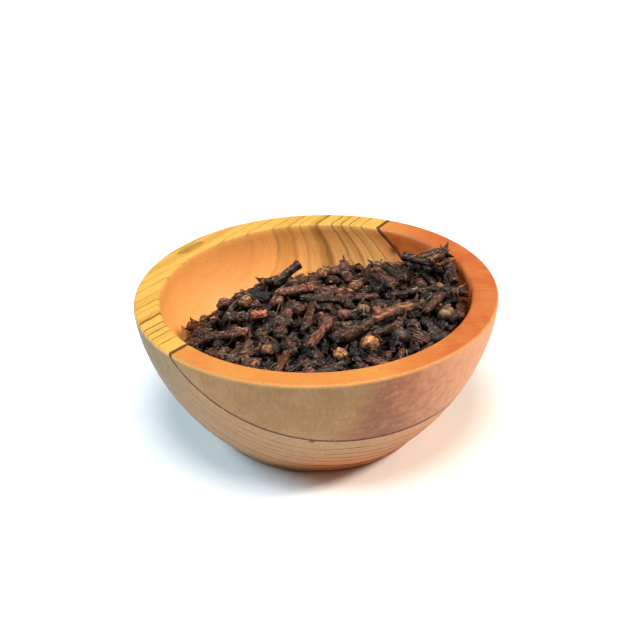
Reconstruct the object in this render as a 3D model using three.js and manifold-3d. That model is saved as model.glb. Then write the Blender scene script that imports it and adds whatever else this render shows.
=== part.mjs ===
// A small turned wooden bowl, heaped with whole cloves.
// Millimetres, +Z up. The origin is the middle of the bowl's foot, on the surface that it stands on.
import * as THREE from "three";
import { mergeVertices } from "three/addons/utils/BufferGeometryUtils.js";
import Module from "manifold-3d";

// Bowl: a flat foot, a wall that swells to a level rim, and a round hollow.
const RIM_RADIUS = 50;
const BOWL_HEIGHT = 40;
const MOUTH_RADIUS = 43;
const HOLLOW_DEPTH = 33;
const WALL_REACH = 50.4; // depth below the rim at which the outer curve would close on the axis
const WALL_POWER = 1.6; // under 2, so the wall leans in all the way down
const HOLLOW_POWER = 2.2;
const FOOT_EDGE_ROUND = 1;
const OUTER_EDGE_ROUND = 0.9;
const INNER_EDGE_ROUND = 1.8;
const BOWL_SIDES = 56;
const WALL_STEPS = 7;
const HOLLOW_STEPS = 6;
const EDGE_STEPS = 2;
const STEP_CROWDING = 1.25; // over 1, which brings the wall's steps closer together near the foot

// Heap: its edge meets the wall near the rim on one side, and deep down on the side it was scooped from.
const HEAP_GAP = 0.5; // kept between the heap and the bowl's faceted wall
const HIGH_EDGE_DEPTH = 2.6;
const LOW_EDGE_DEPTH = 19;
const LOW_SIDE = THREE.MathUtils.degToRad(135);
const LOW_SIDE_POWER = 1.5;
const CROWN_DEPTH = 4.6;
const CROWN_POWER = 1.7;
const MOUNDS = [
  { x: 35, y: 15, rise: 4.5, reach: 7 },
  { x: -17, y: 9, rise: 4.5, reach: 10 },
];
const CORE_DROP = 1.4; // the core's top lies this far under the heap's mean surface
const CORE_SIDES = 40;
const CORE_TOP_STEPS = 5;
const CORE_WALL_STEPS = 5;

// Clove: a four-cornered stem, four pointed lobes, and a round bud held between them.
const CLOVE_LENGTH = 15;
const TAIL_RADIUS = 1.35;
const SHOULDER_RADIUS = 2.05;
const LOBE_RADIUS = 3.3;
const LOBE_NOTCH_RADIUS = 1.9;
const NECK_RADIUS = 1.7;
const BUD_RADIUS = 2.5;
const SHOULDER_AT = 0.66 * CLOVE_LENGTH; // heights above the tail
const CUP_FLOOR_AT = 0.7 * CLOVE_LENGTH;
const LOBE_NOTCH_AT = 0.72 * CLOVE_LENGTH;
const BUD_BASE_AT = 0.73 * CLOVE_LENGTH;
const LOBE_TIP_AT = 0.79 * CLOVE_LENGTH;
const BALD_MIDDLE_AT = 0.38 * CLOVE_LENGTH;
const CUP_FLOOR_RADIUS = 1.2;
const BUD_WIDEST_HEIGHT = 2; // above the bud's base
const BUD_SIDE_RADIUS = 2.4;
const BUD_HEIGHT = 4.2;
const BUD_TOP_RADIUS = 1.35;
const SMALLEST_SCALE = 0.82;
const LARGEST_SCALE = 1.12;

// Places: rows of a sunflower spiral, then more laid on top in the same way.
const UNDER_LAYER = { count: 73, lift: [-0.7, 0.5], pitch: 14, spread: 0.96 };
const UPPER_LAYER = { count: 13, lift: [1.2, 2.1], pitch: 22, spread: 0.82 };
const BALD_SHARE = 0.34; // cloves that have lost their bud
const LOOSE_BUD_SHARE = 0.1;
const GOLDEN_ANGLE = Math.PI * (3 - Math.sqrt(5));
const HEADINGS_TRIED = 16; // the one with the most room to its neighbours is kept
const ROOM_SPREAD = 0.35; // share of its length from a clove's middle to the ends that room is measured at
const SLOPE_RUN = 2; // either way from a clove's middle, for the heap's slope under it
const INWARD_TRIES = 6;
const INWARD_STEP = 0.05; // share of the radius that a clove moves in when it would cross the bowl
const SEED = 20;

const BOWL_WOOD = new THREE.MeshStandardMaterial({ color: 0xd08a45, roughness: 0.5, metalness: 0 });
const CLOVE_BROWN = new THREE.MeshStandardMaterial({ color: 0x3a2418, roughness: 0.75, metalness: 0 });

const wasm = await Module();
wasm.setup();

const outerRadius = (depth) => RIM_RADIUS * Math.sqrt(1 - (depth / WALL_REACH) ** WALL_POWER);

// The hollow's radius at a depth below the rim, drawn in by a gap; above the rim it goes straight up.
function hollowRadius(depth, gap = 0) {
  const share = THREE.MathUtils.clamp(depth / (HOLLOW_DEPTH - gap), 0, 1);
  return (MOUTH_RADIUS - gap) * Math.sqrt(1 - share ** HOLLOW_POWER);
}

// A repeatable stream of numbers from 0 to 1.
function randomStream(seed) {
  let state = seed;
  return () => {
    state = (state * 1664525 + 1013904223) % 4294967296;
    return state / 4294967296;
  };
}

function toSolid(geometry) {
  const bare = geometry.clone();
  bare.deleteAttribute("normal");
  bare.deleteAttribute("uv");
  const merged = mergeVertices(bare, 1e-4);
  return new wasm.Manifold(
    new wasm.Mesh({
      numProp: 3,
      vertProperties: new Float32Array(merged.attributes.position.array),
      triVerts: new Uint32Array(merged.index.array),
    }),
  );
}

function toGeometry(solid) {
  const mesh = solid.getMesh();
  const geometry = new THREE.BufferGeometry();
  geometry.setAttribute("position", new THREE.BufferAttribute(new Float32Array(mesh.vertProperties), 3));
  geometry.setIndex(new THREE.BufferAttribute(new Uint32Array(mesh.triVerts), 1));
  geometry.computeVertexNormals();
  return geometry;
}

// The points between the two ends of a round edge, which turns from one angle to another about a centre.
function edgeArc(radius, height, round, from, to) {
  const points = [];
  for (let step = 1; step < EDGE_STEPS; step++) {
    const angle = THREE.MathUtils.lerp(from, to, step / EDGE_STEPS);
    points.push(new THREE.Vector2(radius + round * Math.cos(angle), height + round * Math.sin(angle)));
  }
  return points;
}

function makeBowl() {
  const profile = [new THREE.Vector2(0, 0), new THREE.Vector2(outerRadius(BOWL_HEIGHT) - FOOT_EDGE_ROUND, 0)];
  const wallTop = BOWL_HEIGHT - OUTER_EDGE_ROUND;
  for (let step = 0; step <= WALL_STEPS; step++) {
    const height = THREE.MathUtils.lerp(FOOT_EDGE_ROUND, wallTop, (step / WALL_STEPS) ** STEP_CROWDING);
    profile.push(new THREE.Vector2(outerRadius(BOWL_HEIGHT - height), height));
  }
  profile.push(
    ...edgeArc(RIM_RADIUS - OUTER_EDGE_ROUND, wallTop, OUTER_EDGE_ROUND, 0, Math.PI / 2),
    new THREE.Vector2(RIM_RADIUS - OUTER_EDGE_ROUND, BOWL_HEIGHT),
    new THREE.Vector2(MOUTH_RADIUS + INNER_EDGE_ROUND, BOWL_HEIGHT),
    ...edgeArc(
      MOUTH_RADIUS + INNER_EDGE_ROUND,
      BOWL_HEIGHT - INNER_EDGE_ROUND,
      INNER_EDGE_ROUND,
      Math.PI / 2,
      Math.PI,
    ),
  );
  for (let step = 0; step <= HOLLOW_STEPS; step++) {
    const turn = (step / HOLLOW_STEPS) * (Math.PI / 2);
    const depth = INNER_EDGE_ROUND + (HOLLOW_DEPTH - INNER_EDGE_ROUND) * Math.sin(turn);
    const radius = step < HOLLOW_STEPS ? hollowRadius(depth) : 0;
    profile.push(new THREE.Vector2(radius, BOWL_HEIGHT - depth));
  }
  return new THREE.LatheGeometry(profile, BOWL_SIDES).rotateX(Math.PI / 2);
}

// Depth below the rim at which the heap meets the wall, round the bowl.
function edgeDepth(azimuth) {
  const towardsLow = 0.5 + 0.5 * Math.cos(azimuth - LOW_SIDE);
  return HIGH_EDGE_DEPTH + (LOW_EDGE_DEPTH - HIGH_EDGE_DEPTH) * towardsLow ** LOW_SIDE_POWER;
}

const edgeRadius = (azimuth) => hollowRadius(edgeDepth(azimuth), HEAP_GAP);

// How far the mounds lift the heap at a point: each is a round hump that fades beyond its reach.
function moundRise(x, y) {
  const humps = MOUNDS.map((mound) => {
    const away = Math.hypot(x - mound.x, y - mound.y) / mound.reach;
    return mound.rise * Math.exp((-away * away) / 2);
  });
  return humps.reduce((sum, hump) => sum + hump, 0);
}

// Height of the heap's mean surface, at a share of the way from its crown to its edge.
function heapHeight(share, azimuth) {
  const depth = THREE.MathUtils.lerp(CROWN_DEPTH, edgeDepth(azimuth), share ** CROWN_POWER);
  const radius = share * edgeRadius(azimuth);
  return BOWL_HEIGHT - depth + moundRise(radius * Math.cos(azimuth), radius * Math.sin(azimuth));
}

function heapHeightAt(x, y) {
  const azimuth = Math.atan2(y, x);
  return heapHeight(Math.min(1, Math.hypot(x, y) / edgeRadius(azimuth)), azimuth);
}

// A closed solid of rings round the axis, between a bottom and a top point. Each ring gives a side's point.
function ringSolid(bottom, rings, top, sides) {
  const points = [bottom];
  for (const ring of rings) {
    for (let side = 0; side < sides; side++) points.push(ring(side));
  }
  points.push(top);
  const last = points.length - 1;
  const faces = [];
  for (let side = 0; side < sides; side++) {
    const next = (side + 1) % sides;
    faces.push(0, 1 + next, 1 + side);
    for (let row = 0; row < rings.length - 1; row++) {
      const lower = 1 + row * sides;
      const upper = lower + sides;
      faces.push(lower + side, lower + next, upper + next, lower + side, upper + next, upper + side);
    }
    const end = 1 + (rings.length - 1) * sides;
    faces.push(end + side, end + next, last);
  }
  const geometry = new THREE.BufferGeometry().setFromPoints(points);
  geometry.setIndex(faces);
  return geometry;
}

function makeCore() {
  const rings = [];
  const azimuthOf = (side) => (side / CORE_SIDES) * 2 * Math.PI;
  const pointAt = (radius, azimuth, height) =>
    new THREE.Vector3(radius * Math.cos(azimuth), radius * Math.sin(azimuth), height);
  for (let step = 1; step <= CORE_WALL_STEPS; step++) {
    rings.push((side) => {
      const azimuth = azimuthOf(side);
      const top = edgeDepth(azimuth) + CORE_DROP;
      const turn = (step / CORE_WALL_STEPS) * (Math.PI / 2);
      const depth = top + (HOLLOW_DEPTH - HEAP_GAP - top) * Math.cos(turn);
      return pointAt(hollowRadius(depth, HEAP_GAP), azimuth, BOWL_HEIGHT - depth);
    });
  }
  for (let step = CORE_TOP_STEPS - 1; step >= 1; step--) {
    rings.push((side) => {
      const azimuth = azimuthOf(side);
      const share = step / CORE_TOP_STEPS;
      const rim = hollowRadius(edgeDepth(azimuth) + CORE_DROP, HEAP_GAP);
      return pointAt(share * rim, azimuth, heapHeight(share, azimuth) - CORE_DROP);
    });
  }
  const bottom = new THREE.Vector3(0, 0, BOWL_HEIGHT - HOLLOW_DEPTH + HEAP_GAP);
  const top = new THREE.Vector3(0, 0, heapHeight(0, 0) - CORE_DROP);
  return ringSolid(bottom, rings, top, CORE_SIDES);
}

// A solid of square and eight-pointed sections along +Z, closed at both ends.
// A section is [height, corner radius], or [height, corner radius, notch radius, notch height].
function sectionSolid(sections) {
  const points = [];
  const starts = [];
  for (const [height, corner, notch, notchHeight] of sections) {
    starts.push(points.length);
    const sides = notch === undefined ? 4 : 8;
    for (let side = 0; side < sides; side++) {
      const angle = (side / sides) * 2 * Math.PI;
      const isCorner = notch === undefined || side % 2 === 0;
      const radius = isCorner ? corner : notch;
      const z = isCorner ? height : notchHeight;
      points.push(new THREE.Vector3(radius * Math.cos(angle), radius * Math.sin(angle), z));
    }
  }
  const faces = [];
  const isStar = (row) => sections[row].length > 2;
  for (let row = 0; row < sections.length - 1; row++) {
    const lower = starts[row];
    const upper = starts[row + 1];
    for (let corner = 0; corner < 4; corner++) {
      const next = (corner + 1) % 4;
      const lowerHere = lower + (isStar(row) ? 2 * corner : corner);
      const lowerNext = lower + (isStar(row) ? 2 * next : next);
      const upperHere = upper + (isStar(row + 1) ? 2 * corner : corner);
      const upperNext = upper + (isStar(row + 1) ? 2 * next : next);
      if (isStar(row + 1)) {
        const notch = upperHere + 1;
        faces.push(lowerHere, notch, upperHere, lowerHere, lowerNext, notch, lowerNext, upperNext, notch);
      } else if (isStar(row)) {
        const notch = lowerHere + 1;
        faces.push(lowerHere, notch, upperHere, notch, upperNext, upperHere, notch, lowerNext, upperNext);
      } else {
        faces.push(lowerHere, lowerNext, upperNext, lowerHere, upperNext, upperHere);
      }
    }
  }
  const end = starts[starts.length - 1];
  faces.push(0, 2, 1, 0, 3, 2, end, end + 1, end + 2, end, end + 2, end + 3);
  const geometry = new THREE.BufferGeometry().setFromPoints(points);
  geometry.setIndex(faces);
  return geometry;
}

const stemSections = [
  [0, TAIL_RADIUS],
  [SHOULDER_AT, SHOULDER_RADIUS],
  [LOBE_TIP_AT, LOBE_RADIUS, LOBE_NOTCH_RADIUS, LOBE_NOTCH_AT],
];

const budSections = (base) => [
  [base, NECK_RADIUS],
  [base + BUD_WIDEST_HEIGHT, BUD_RADIUS, BUD_SIDE_RADIUS, base + BUD_WIDEST_HEIGHT],
  [base + BUD_HEIGHT, BUD_TOP_RADIUS],
];

// The three kinds of piece, each centred on its own middle.
function cloveKinds() {
  const bald = [...stemSections, [CUP_FLOOR_AT, CUP_FLOOR_RADIUS]];
  const whole = [...stemSections, ...budSections(BUD_BASE_AT)];
  return {
    whole: sectionSolid(whole).translate(0, 0, -CLOVE_LENGTH / 2),
    bald: sectionSolid(bald).translate(0, 0, -BALD_MIDDLE_AT),
    bud: sectionSolid(budSections(0)).translate(0, 0, -BUD_WIDEST_HEIGHT),
  };
}

// Where a clove lies: its middle on the heap, its length along the slope, turned to a heading and pitched.
function placement(share, azimuth, heading, pitch, roll, lift, scale) {
  const radius = share * edgeRadius(azimuth);
  const x = radius * Math.cos(azimuth);
  const y = radius * Math.sin(azimuth);
  const ahead = heapHeightAt(x + SLOPE_RUN * Math.cos(heading), y + SLOPE_RUN * Math.sin(heading));
  const behind = heapHeightAt(x - SLOPE_RUN * Math.cos(heading), y - SLOPE_RUN * Math.sin(heading));
  const slope = Math.atan2(ahead - behind, 2 * SLOPE_RUN) + pitch;
  const along = new THREE.Vector3(
    Math.cos(heading) * Math.cos(slope),
    Math.sin(heading) * Math.cos(slope),
    Math.sin(slope),
  );
  const turn = new THREE.Quaternion().setFromUnitVectors(new THREE.Vector3(0, 0, 1), along);
  turn.multiply(new THREE.Quaternion().setFromAxisAngle(new THREE.Vector3(0, 0, 1), roll));
  const middle = new THREE.Vector3(x, y, heapHeightAt(x, y) + lift);
  return new THREE.Matrix4().compose(middle, turn, new THREE.Vector3(scale, scale, scale));
}

function clearsBowl(geometry) {
  const positions = geometry.attributes.position;
  for (let i = 0; i < positions.count; i++) {
    const depth = BOWL_HEIGHT - positions.getZ(i);
    if (Math.hypot(positions.getX(i), positions.getY(i)) > hollowRadius(depth, HEAP_GAP)) return false;
  }
  return true;
}

// Points along a clove's middle line, from near its tail to its head.
function spine(place) {
  const shares = [-ROOM_SPREAD, 0, ROOM_SPREAD];
  return shares.map((share) => new THREE.Vector3(0, 0, share * CLOVE_LENGTH).applyMatrix4(place));
}

function roomAround(points, others) {
  let room = Infinity;
  for (const other of others) {
    for (const point of points) {
      for (const otherPoint of other) room = Math.min(room, point.distanceTo(otherPoint));
    }
  }
  return room;
}

// Lays cloves on a sunflower spiral, each turned to the heading that leaves it the most room.
function layCloves(layer, kinds, random) {
  const between = (low, high) => low + (high - low) * random();
  const laid = [];
  const spines = [];
  for (let i = 0; i < layer.count; i++) {
    const azimuth = i * GOLDEN_ANGLE;
    const draw = random(); // picks the kind
    const kind = draw < LOOSE_BUD_SHARE ? "bud" : draw < LOOSE_BUD_SHARE + BALD_SHARE ? "bald" : "whole";
    const pitch = THREE.MathUtils.degToRad(between(-layer.pitch, layer.pitch));
    const scale = between(SMALLEST_SCALE, LARGEST_SCALE);
    const lift = between(...layer.lift);
    const firstHeading = 2 * Math.PI * random();
    const roll = Math.PI * random();
    let share = layer.spread * Math.sqrt((i + 0.5) / layer.count);
    let best = null;
    for (let step = 0; step < INWARD_TRIES && !best; step++) {
      for (let turn = 0; turn < HEADINGS_TRIED; turn++) {
        const heading = firstHeading + (turn / HEADINGS_TRIED) * 2 * Math.PI;
        const place = placement(share, azimuth, heading, pitch, roll, lift, scale);
        const piece = kinds[kind].clone().applyMatrix4(place);
        const room = roomAround(spine(place), spines);
        if ((!best || room > best.room) && clearsBowl(piece)) best = { piece, place, room };
      }
      share *= 1 - INWARD_STEP;
    }
    if (best) {
      laid.push(best.piece);
      spines.push(spine(best.place));
    }
  }
  return laid;
}

// The biggest body of a solid: what fusing leaves loose is dropped, and the pockets it seals are filled.
function mainBody(solid) {
  return solid.decompose().reduce((best, body) => (body.volume() > best.volume() ? body : best));
}

function makeHeap() {
  const kinds = cloveKinds();
  const random = randomStream(SEED);
  const pieces = [...layCloves(UNDER_LAYER, kinds, random), ...layCloves(UPPER_LAYER, kinds, random)];
  let heap = toSolid(makeCore());
  for (const piece of pieces) heap = heap.add(toSolid(piece));
  return toGeometry(mainBody(heap));
}

function namedMesh(name, geometry, material) {
  const mesh = new THREE.Mesh(geometry, material);
  mesh.name = name;
  return mesh;
}

const cloveBowl = new THREE.Group();
cloveBowl.add(namedMesh("bowl", makeBowl(), BOWL_WOOD), namedMesh("cloves", makeHeap(), CLOVE_BROWN));

export default cloveBowl;
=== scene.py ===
"""A small turned wooden bowl heaped with whole cloves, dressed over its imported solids.

Lengths in the settings are millimetres unless they say otherwise, and every mesh is made in metres.
"""

import math

import bpy
import numpy as np
from bpy.props import FloatProperty, FloatVectorProperty, IntProperty, PointerProperty
from bpy.types import Operator, Panel, PropertyGroup
from mathutils import Matrix, Vector


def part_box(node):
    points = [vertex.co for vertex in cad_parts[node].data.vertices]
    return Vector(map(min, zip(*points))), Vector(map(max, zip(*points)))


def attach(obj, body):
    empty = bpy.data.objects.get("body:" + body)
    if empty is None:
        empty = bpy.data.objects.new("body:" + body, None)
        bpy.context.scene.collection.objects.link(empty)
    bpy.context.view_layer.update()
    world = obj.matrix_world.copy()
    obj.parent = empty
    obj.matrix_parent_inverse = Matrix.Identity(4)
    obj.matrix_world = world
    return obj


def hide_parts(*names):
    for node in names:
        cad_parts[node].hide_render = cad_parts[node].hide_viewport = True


bl_info = {
    "name": "Clove Bowl",
    "version": (1, 0, 0),
    "blender": (4, 5, 0),
    "location": "3D View > Sidebar > Clove Bowl",
    "description": "Builds a turned wooden bowl heaped with whole cloves, and its studio",
    "category": "Add Mesh",
}

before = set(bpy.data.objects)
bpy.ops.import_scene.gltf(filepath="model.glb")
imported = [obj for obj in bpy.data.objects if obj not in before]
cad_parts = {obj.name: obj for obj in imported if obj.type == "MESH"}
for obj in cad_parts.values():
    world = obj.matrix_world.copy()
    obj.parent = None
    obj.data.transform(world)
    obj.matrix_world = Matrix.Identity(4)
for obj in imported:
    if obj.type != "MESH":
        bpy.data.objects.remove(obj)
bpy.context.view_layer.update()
BOWL_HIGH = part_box("bowl")[1]

MM = 0.001
BODY = "root"


def colour(code):
    """The scene-linear red, green and blue of a 0xRRGGBB code."""
    parts = ((code >> shift & 255) / 255 for shift in (16, 8, 0))
    return tuple(p / 12.92 if p <= 0.04045 else ((p + 0.055) / 1.055) ** 2.4 for p in parts)


def size(name, description, default, unit="NONE"):
    return FloatProperty(name=name, description=description, default=default, min=0.0, unit=unit)


def angle(name, description, degrees):
    default = math.radians(degrees)
    return FloatProperty(name=name, description=description, default=default, subtype="ANGLE")


def number_of(name, description, default):
    return IntProperty(name=name, description=description, default=default, min=0)


def curve(name, description, default):
    return FloatVectorProperty(
        name=name, description=description, default=default, size=len(default), precision=5
    )


def tint(name, description, code):
    return FloatVectorProperty(
        name=name, description=description, default=colour(code), subtype="COLOR", size=3, min=0, max=1
    )


class BowlSettings(PropertyGroup):
    """The turned bowl: its lathe profile and its two boards."""

    rim_radius: size("Rim radius", "Outer radius of the rim, mm", BOWL_HIGH.x / MM)
    height: size("Height", "From the foot to the rim, mm", BOWL_HIGH.z / MM)
    mouth_share: size("Mouth", "Radius of the mouth as a share of the rim's", 0.853)
    hollow_share: size("Hollow", "Depth of the hollow as a share of the height", 0.825)
    wall_reach: size("Wall reach", "Depth at which the outer curve would close on the axis, mm", 50.4)
    wall_power: size("Wall power", "How full the outer curve is", 1.6)
    hollow_power: size("Hollow power", "How full the hollow's curve is", 2.2)
    joint_height: size("Joint height", "Height of the boards' joint on the bowl's axis, mm", 33.5)
    joint_rise: curve("Joint rise", "How steeply the joint rises, right and back", (-0.566, 0.444))
    joint_bend: curve(
        "Joint bend", "How the joint curves: across, twist and back, per mm", (0.0044, -0.00855, 0.00308)
    )
    rim_plain: tint("Plain rim", "Colour of the plain board on the rim", 0xC07636)
    rim_right: tint("Right rim", "Colour of the plain board on the rim's right side", 0xB0552A)
    rim_striped: tint("Striped rim", "Colour of the striped board on the rim", 0xCE9F49)
    inner_plain: tint("Plain inside", "Colour of the plain board inside", 0xC85A20)
    inner_left: tint("Left inside", "Colour of the striped board's clear side inside", 0xE99F57)
    inner_striped: tint("Striped inside", "Colour of the striped board inside", 0xFFB263)
    outer_plain: tint("Plain outside", "Colour of the plain board outside", 0x967247)
    outer_striped: tint("Striped outside", "Colour of the striped board outside", 0xA6825E)
    # The left outside colour is painted cool shade on the striped board's left side, not a colour of the
    # wood.
    outer_left_cool_shade: tint("Left outside", "Colour of the striped board's left side outside", 0x756A4C)
    outer_low: tint("Low outside", "Colour of the striped board low down outside", 0xD6865A)
    outer_right: tint("Right outside", "Colour of the plain board's right side outside", 0xD08F6A)
    blush: tint("Blush", "Colour of the outside's brown streaks", 0x985434)
    blush_dark: tint("Dark blush", "Colour of the darkest of those streaks", 0x7C4A38)
    # The edge colour is a painted highlight round the rim's outer edge, and also the tint of the pale
    # flecks outside.
    edge_highlight_and_flecks: tint("Edge", "Colour of the pale line round the rim's outer edge", 0xC89A5C)
    warm_band: tint("Warm bands", "Colour of the striped board's broad warm bands", 0xB27930)
    growth_line: tint("Growth lines", "Colour of the striped board's dark lines", 0x663A16)
    glue_line: tint("Glue line", "Colour of the line where the boards meet", 0x4A2410)


class HeapSettings(PropertyGroup):
    """The heap of cloves: its uneven top, and what it is made of."""

    high_edge_depth: size("High edge", "Depth below the rim of the heap's edge at its high side, mm", 2.6)
    low_edge_depth: size("Low edge", "Depth below the rim of the heap's edge at its low side, mm", 19.0)
    low_side: angle("Low side", "Bearing of the heap's low side", 135)
    low_side_power: size("Low side power", "How narrow the low side is", 1.5)
    crown_depth: size("Crown depth", "Depth of the heap's crown below the rim, mm", 4.6)
    crown_power: size("Crown power", "How flat the heap is on top", 1.7)
    core_drop: size("Core drop", "How far the core lies under the heap's top, mm", 6.0)
    first_pieces: number_of("First pieces", "Pieces in the first fall", 150)
    more_pieces: number_of("More pieces", "Most pieces laid in the hollows left", 150)
    crumbs: number_of("Crumbs", "Small broken bits", 380)
    threads: number_of("Threads", "Loose stamens", 230)
    seed: number_of("Seed", "Start of the random draws", 11)
    black_brown: tint("Black-brown", "Commonest colour of the stems", 0x341709)
    brown: tint("Brown", "Colour of the plain brown stems", 0x562A11)
    grey_brown: tint("Grey-brown", "Colour of some stems", 0x472815)
    plum: tint("Plum", "Colour of the purplish stems", 0x4D251B)
    red_brown: tint("Red-brown", "Colour of the reddest stems", 0x763F30)
    fawn: tint("Fawn", "Colour of the palest stems", 0x8A583C)
    tan: tint("Tan", "Colour of the palest buds", 0xC07C4A)
    golden: tint("Golden", "Colour of the golden buds", 0x9C663A)
    drab: tint("Drab", "Colour of the drab buds", 0x886446)
    grey: tint("Grey", "Colour of the dark grey buds", 0x3A2D26)
    orange: tint("Orange", "Colour of the freshly broken bits", 0xAA5C40)
    # The pale speck colour is partly real dust and partly painted glints on the skins; some chips take it
    # as their tint.
    dust_and_glint: tint("Dust", "Colour of the pale specks on the skins", 0xBA8464)
    thread: tint("Threads", "Colour of the loose stamens", 0xD0B592)


class StudioSettings(PropertyGroup):
    """The camera, the floor and the lights."""

    camera_distance: size("Camera distance", "From the middle of the rim, m", 0.430, unit="LENGTH")
    camera_elevation: angle("Camera elevation", "Above level", 27.9)
    camera_roll: angle("Camera roll", "Lean of the camera", 1.82)
    view_angle: angle("View angle", "Across the frame", 22.73)
    sky_strength: size("Sky", "Strength of the even light", 0.09)
    box_power: size("Soft box", "Power of the broad light overhead", 50.0, unit="POWER")
    key_power: size("Key light", "Power of the warm light from the right", 66.0, unit="POWER")
    fill_power: size("Fill light", "Power of the cool light from the left", 54.0, unit="POWER")


SETTINGS = {"clove_bowl": BowlSettings, "clove_heap": HeapSettings, "clove_studio": StudioSettings}


def settings():
    """The bowl's, the heap's and the studio's settings."""
    scene = bpy.context.scene
    return scene.clove_bowl, scene.clove_heap, scene.clove_studio


# ---------------------------------------------------------------------------------------------------------
# Shader maths


class Value:
    """A shader socket that Python's operators work on: each operator adds a Math node."""

    def __init__(self, paint, socket):
        self.paint = paint
        self.socket = socket

    def math(self, operation, *others):
        values = dict(enumerate((self, *others)))
        return self.paint.node("ShaderNodeMath", {"operation": operation}, values)

    def __add__(self, other):
        return self.math("ADD", other)

    __radd__ = __add__

    def __sub__(self, other):
        return self.math("SUBTRACT", other)

    def __rsub__(self, other):
        return self.paint.node("ShaderNodeMath", {"operation": "SUBTRACT"}, {0: other, 1: self})

    def __mul__(self, other):
        return self.math("MULTIPLY", other)

    __rmul__ = __mul__

    def __truediv__(self, other):
        return self.math("DIVIDE", other)

    def __abs__(self):
        return self.math("ABSOLUTE")

    def __pow__(self, other):
        return self.math("POWER", other)

    def most(self, other):
        return self.math("MAXIMUM", other)

    def least(self, other):
        return self.math("MINIMUM", other)

    def ramp_up(self, low, high):
        """0 up to low, 1 from high on, and smooth between them. Low may be the greater of the two."""
        ends = {"From Min": low, "From Max": high, "To Min": 0.0, "To Max": 1.0}
        smooth = {"interpolation_type": "SMOOTHSTEP"}
        return self.paint.node("ShaderNodeMapRange", smooth, {"Value": self, **ends})

    def part(self, index):
        """One of a point's three coordinates."""
        return self.paint.node("ShaderNodeSeparateXYZ", inputs={0: self}, output=index)


class Paint:
    """A node material, built by expressions on its sockets."""

    def __init__(self, name, **constants):
        self.material = bpy.data.materials.new(name)
        self.material.use_nodes = True
        self.tree = self.material.node_tree
        self.shader = self.tree.nodes["Principled BSDF"]
        for socket, value in constants.items():
            self.shader.inputs[socket.replace("_", " ")].default_value = value

    def node(self, kind, options=None, inputs=None, output=0):
        """Adds a node. Its settings are made first, then its sockets are given values or links."""
        node = self.tree.nodes.new(kind)
        for name, value in (options or {}).items():
            setattr(node, name, value)
        for key, value in (inputs or {}).items():
            self.feed(node.inputs[key], value)
        return Value(self, node.outputs[output])

    def feed(self, socket, value):
        if isinstance(value, Value):
            self.tree.links.new(value.socket, socket)
        elif socket.type == "RGBA" and len(value) == 3:
            socket.default_value = (*value, 1)
        else:
            socket.default_value = value

    def surface(self, **inputs):
        for name, value in inputs.items():
            self.feed(self.shader.inputs[name.replace("_", " ")], value)

    def point(self):
        """The piece's own coordinates, in millimetres."""
        place = self.node("ShaderNodeTexCoord", output="Object")
        return self.scaled(place, (1 / MM, 1 / MM, 1 / MM))

    def scaled(self, place, scale):
        return self.node("ShaderNodeVectorMath", {"operation": "MULTIPLY"}, {0: place, 1: scale})

    def apart(self, place, centre):
        """Distance from a fixed point."""
        ends = {0: place, 1: centre}
        return self.node("ShaderNodeVectorMath", {"operation": "DISTANCE"}, ends, "Value")

    def triple(self, x, y, z):
        return self.node("ShaderNodeCombineXYZ", inputs={0: x, 1: y, 2: z})

    def attribute(self, name, output):
        return self.node("ShaderNodeAttribute", {"attribute_name": name}, output=output)

    def noise(self, place, scale, detail=2.0, rough=0.5):
        inputs = {"Vector": place, "Scale": scale, "Detail": detail, "Roughness": rough}
        return self.node("ShaderNodeTexNoise", inputs=inputs)

    def mix(self, share, first, second, blend="MIX"):
        """A mix of two colours."""
        options = {"data_type": "RGBA", "blend_type": blend}
        return self.node("ShaderNodeMix", options, {0: share, 6: first, 7: second}, output=2)

    def bump(self, height, depth_mm):
        inputs = {"Height": height, "Strength": 1.0, "Distance": depth_mm * MM}
        return self.node("ShaderNodeBump", inputs=inputs)


# ---------------------------------------------------------------------------------------------------------
# Bowl

BOWL_SIDES = 224
FOOT_STEPS = 8
EDGE_STEPS = 6
WALL_STEPS = 46
RIM_STEPS = 6
HOLLOW_STEPS = 44
OUTER_EDGE_ROUND = 0.9
INNER_EDGE_ROUND = 1.1
FOOT_EDGE_ROUND = 1.6
# Angles at which the foot's and the lip's rounding run into the wall.
FOOT_ROUND_END = -0.3
LIP_ROUND_END = math.pi * 0.8

# Growth lines of the striped board: depth under the joint and half width, both mm, and darkness.
GROWTH_LINES = (
    (4.7, 0.14, 0.75),
    (8.0, 0.17, 0.7),
    (10.5, 0.2, 0.8),
    (13.1, 0.2, 0.8),
    (17.6, 0.4, 0.8),
    (22.5, 0.2, 0.4),
    (25.3, 0.3, 0.5),
    (29.0, 0.25, 0.4),
    (34.0, 0.3, 0.4),
    (38.2, 0.2, 0.4),
    (47.5, 0.3, 0.4),
)
WARM_BANDS = ((6.9, 0.7, 0.4), (11.3, 0.6, 0.5), (18.6, 1.0, 0.9), (27.2, 1.2, 0.5), (43.4, 1.6, 0.8))
# The growth lines spread apart towards the rim at the back: how fast, and down to what depth, mm.
FAN_RATE = 0.02
FAN_DEPTH = 14.0
FAN_BACK = (-10.0, 20.0)
# Knots on the joint: centre, dark core and reach, mm.
JOINT_KNOTS = (((23.8, 35.3, 34.3), 0.5, 2.3), ((-2.2, -43.8, 19.9), 0.3, 1.3))
# A brown streak on the rim: its two ends, how far it reaches sideways, mm, and how dark it is.
RIM_STREAK = ((-39.5, 25.5, 40.0), (-32.5, 33.5, 40.0), 0.9, 0.5)
# Where the wood's colour changes, mm to the right, back or up: each fade's start and end.
LEFT_INSIDE = (-8.0, -24.0)
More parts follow.
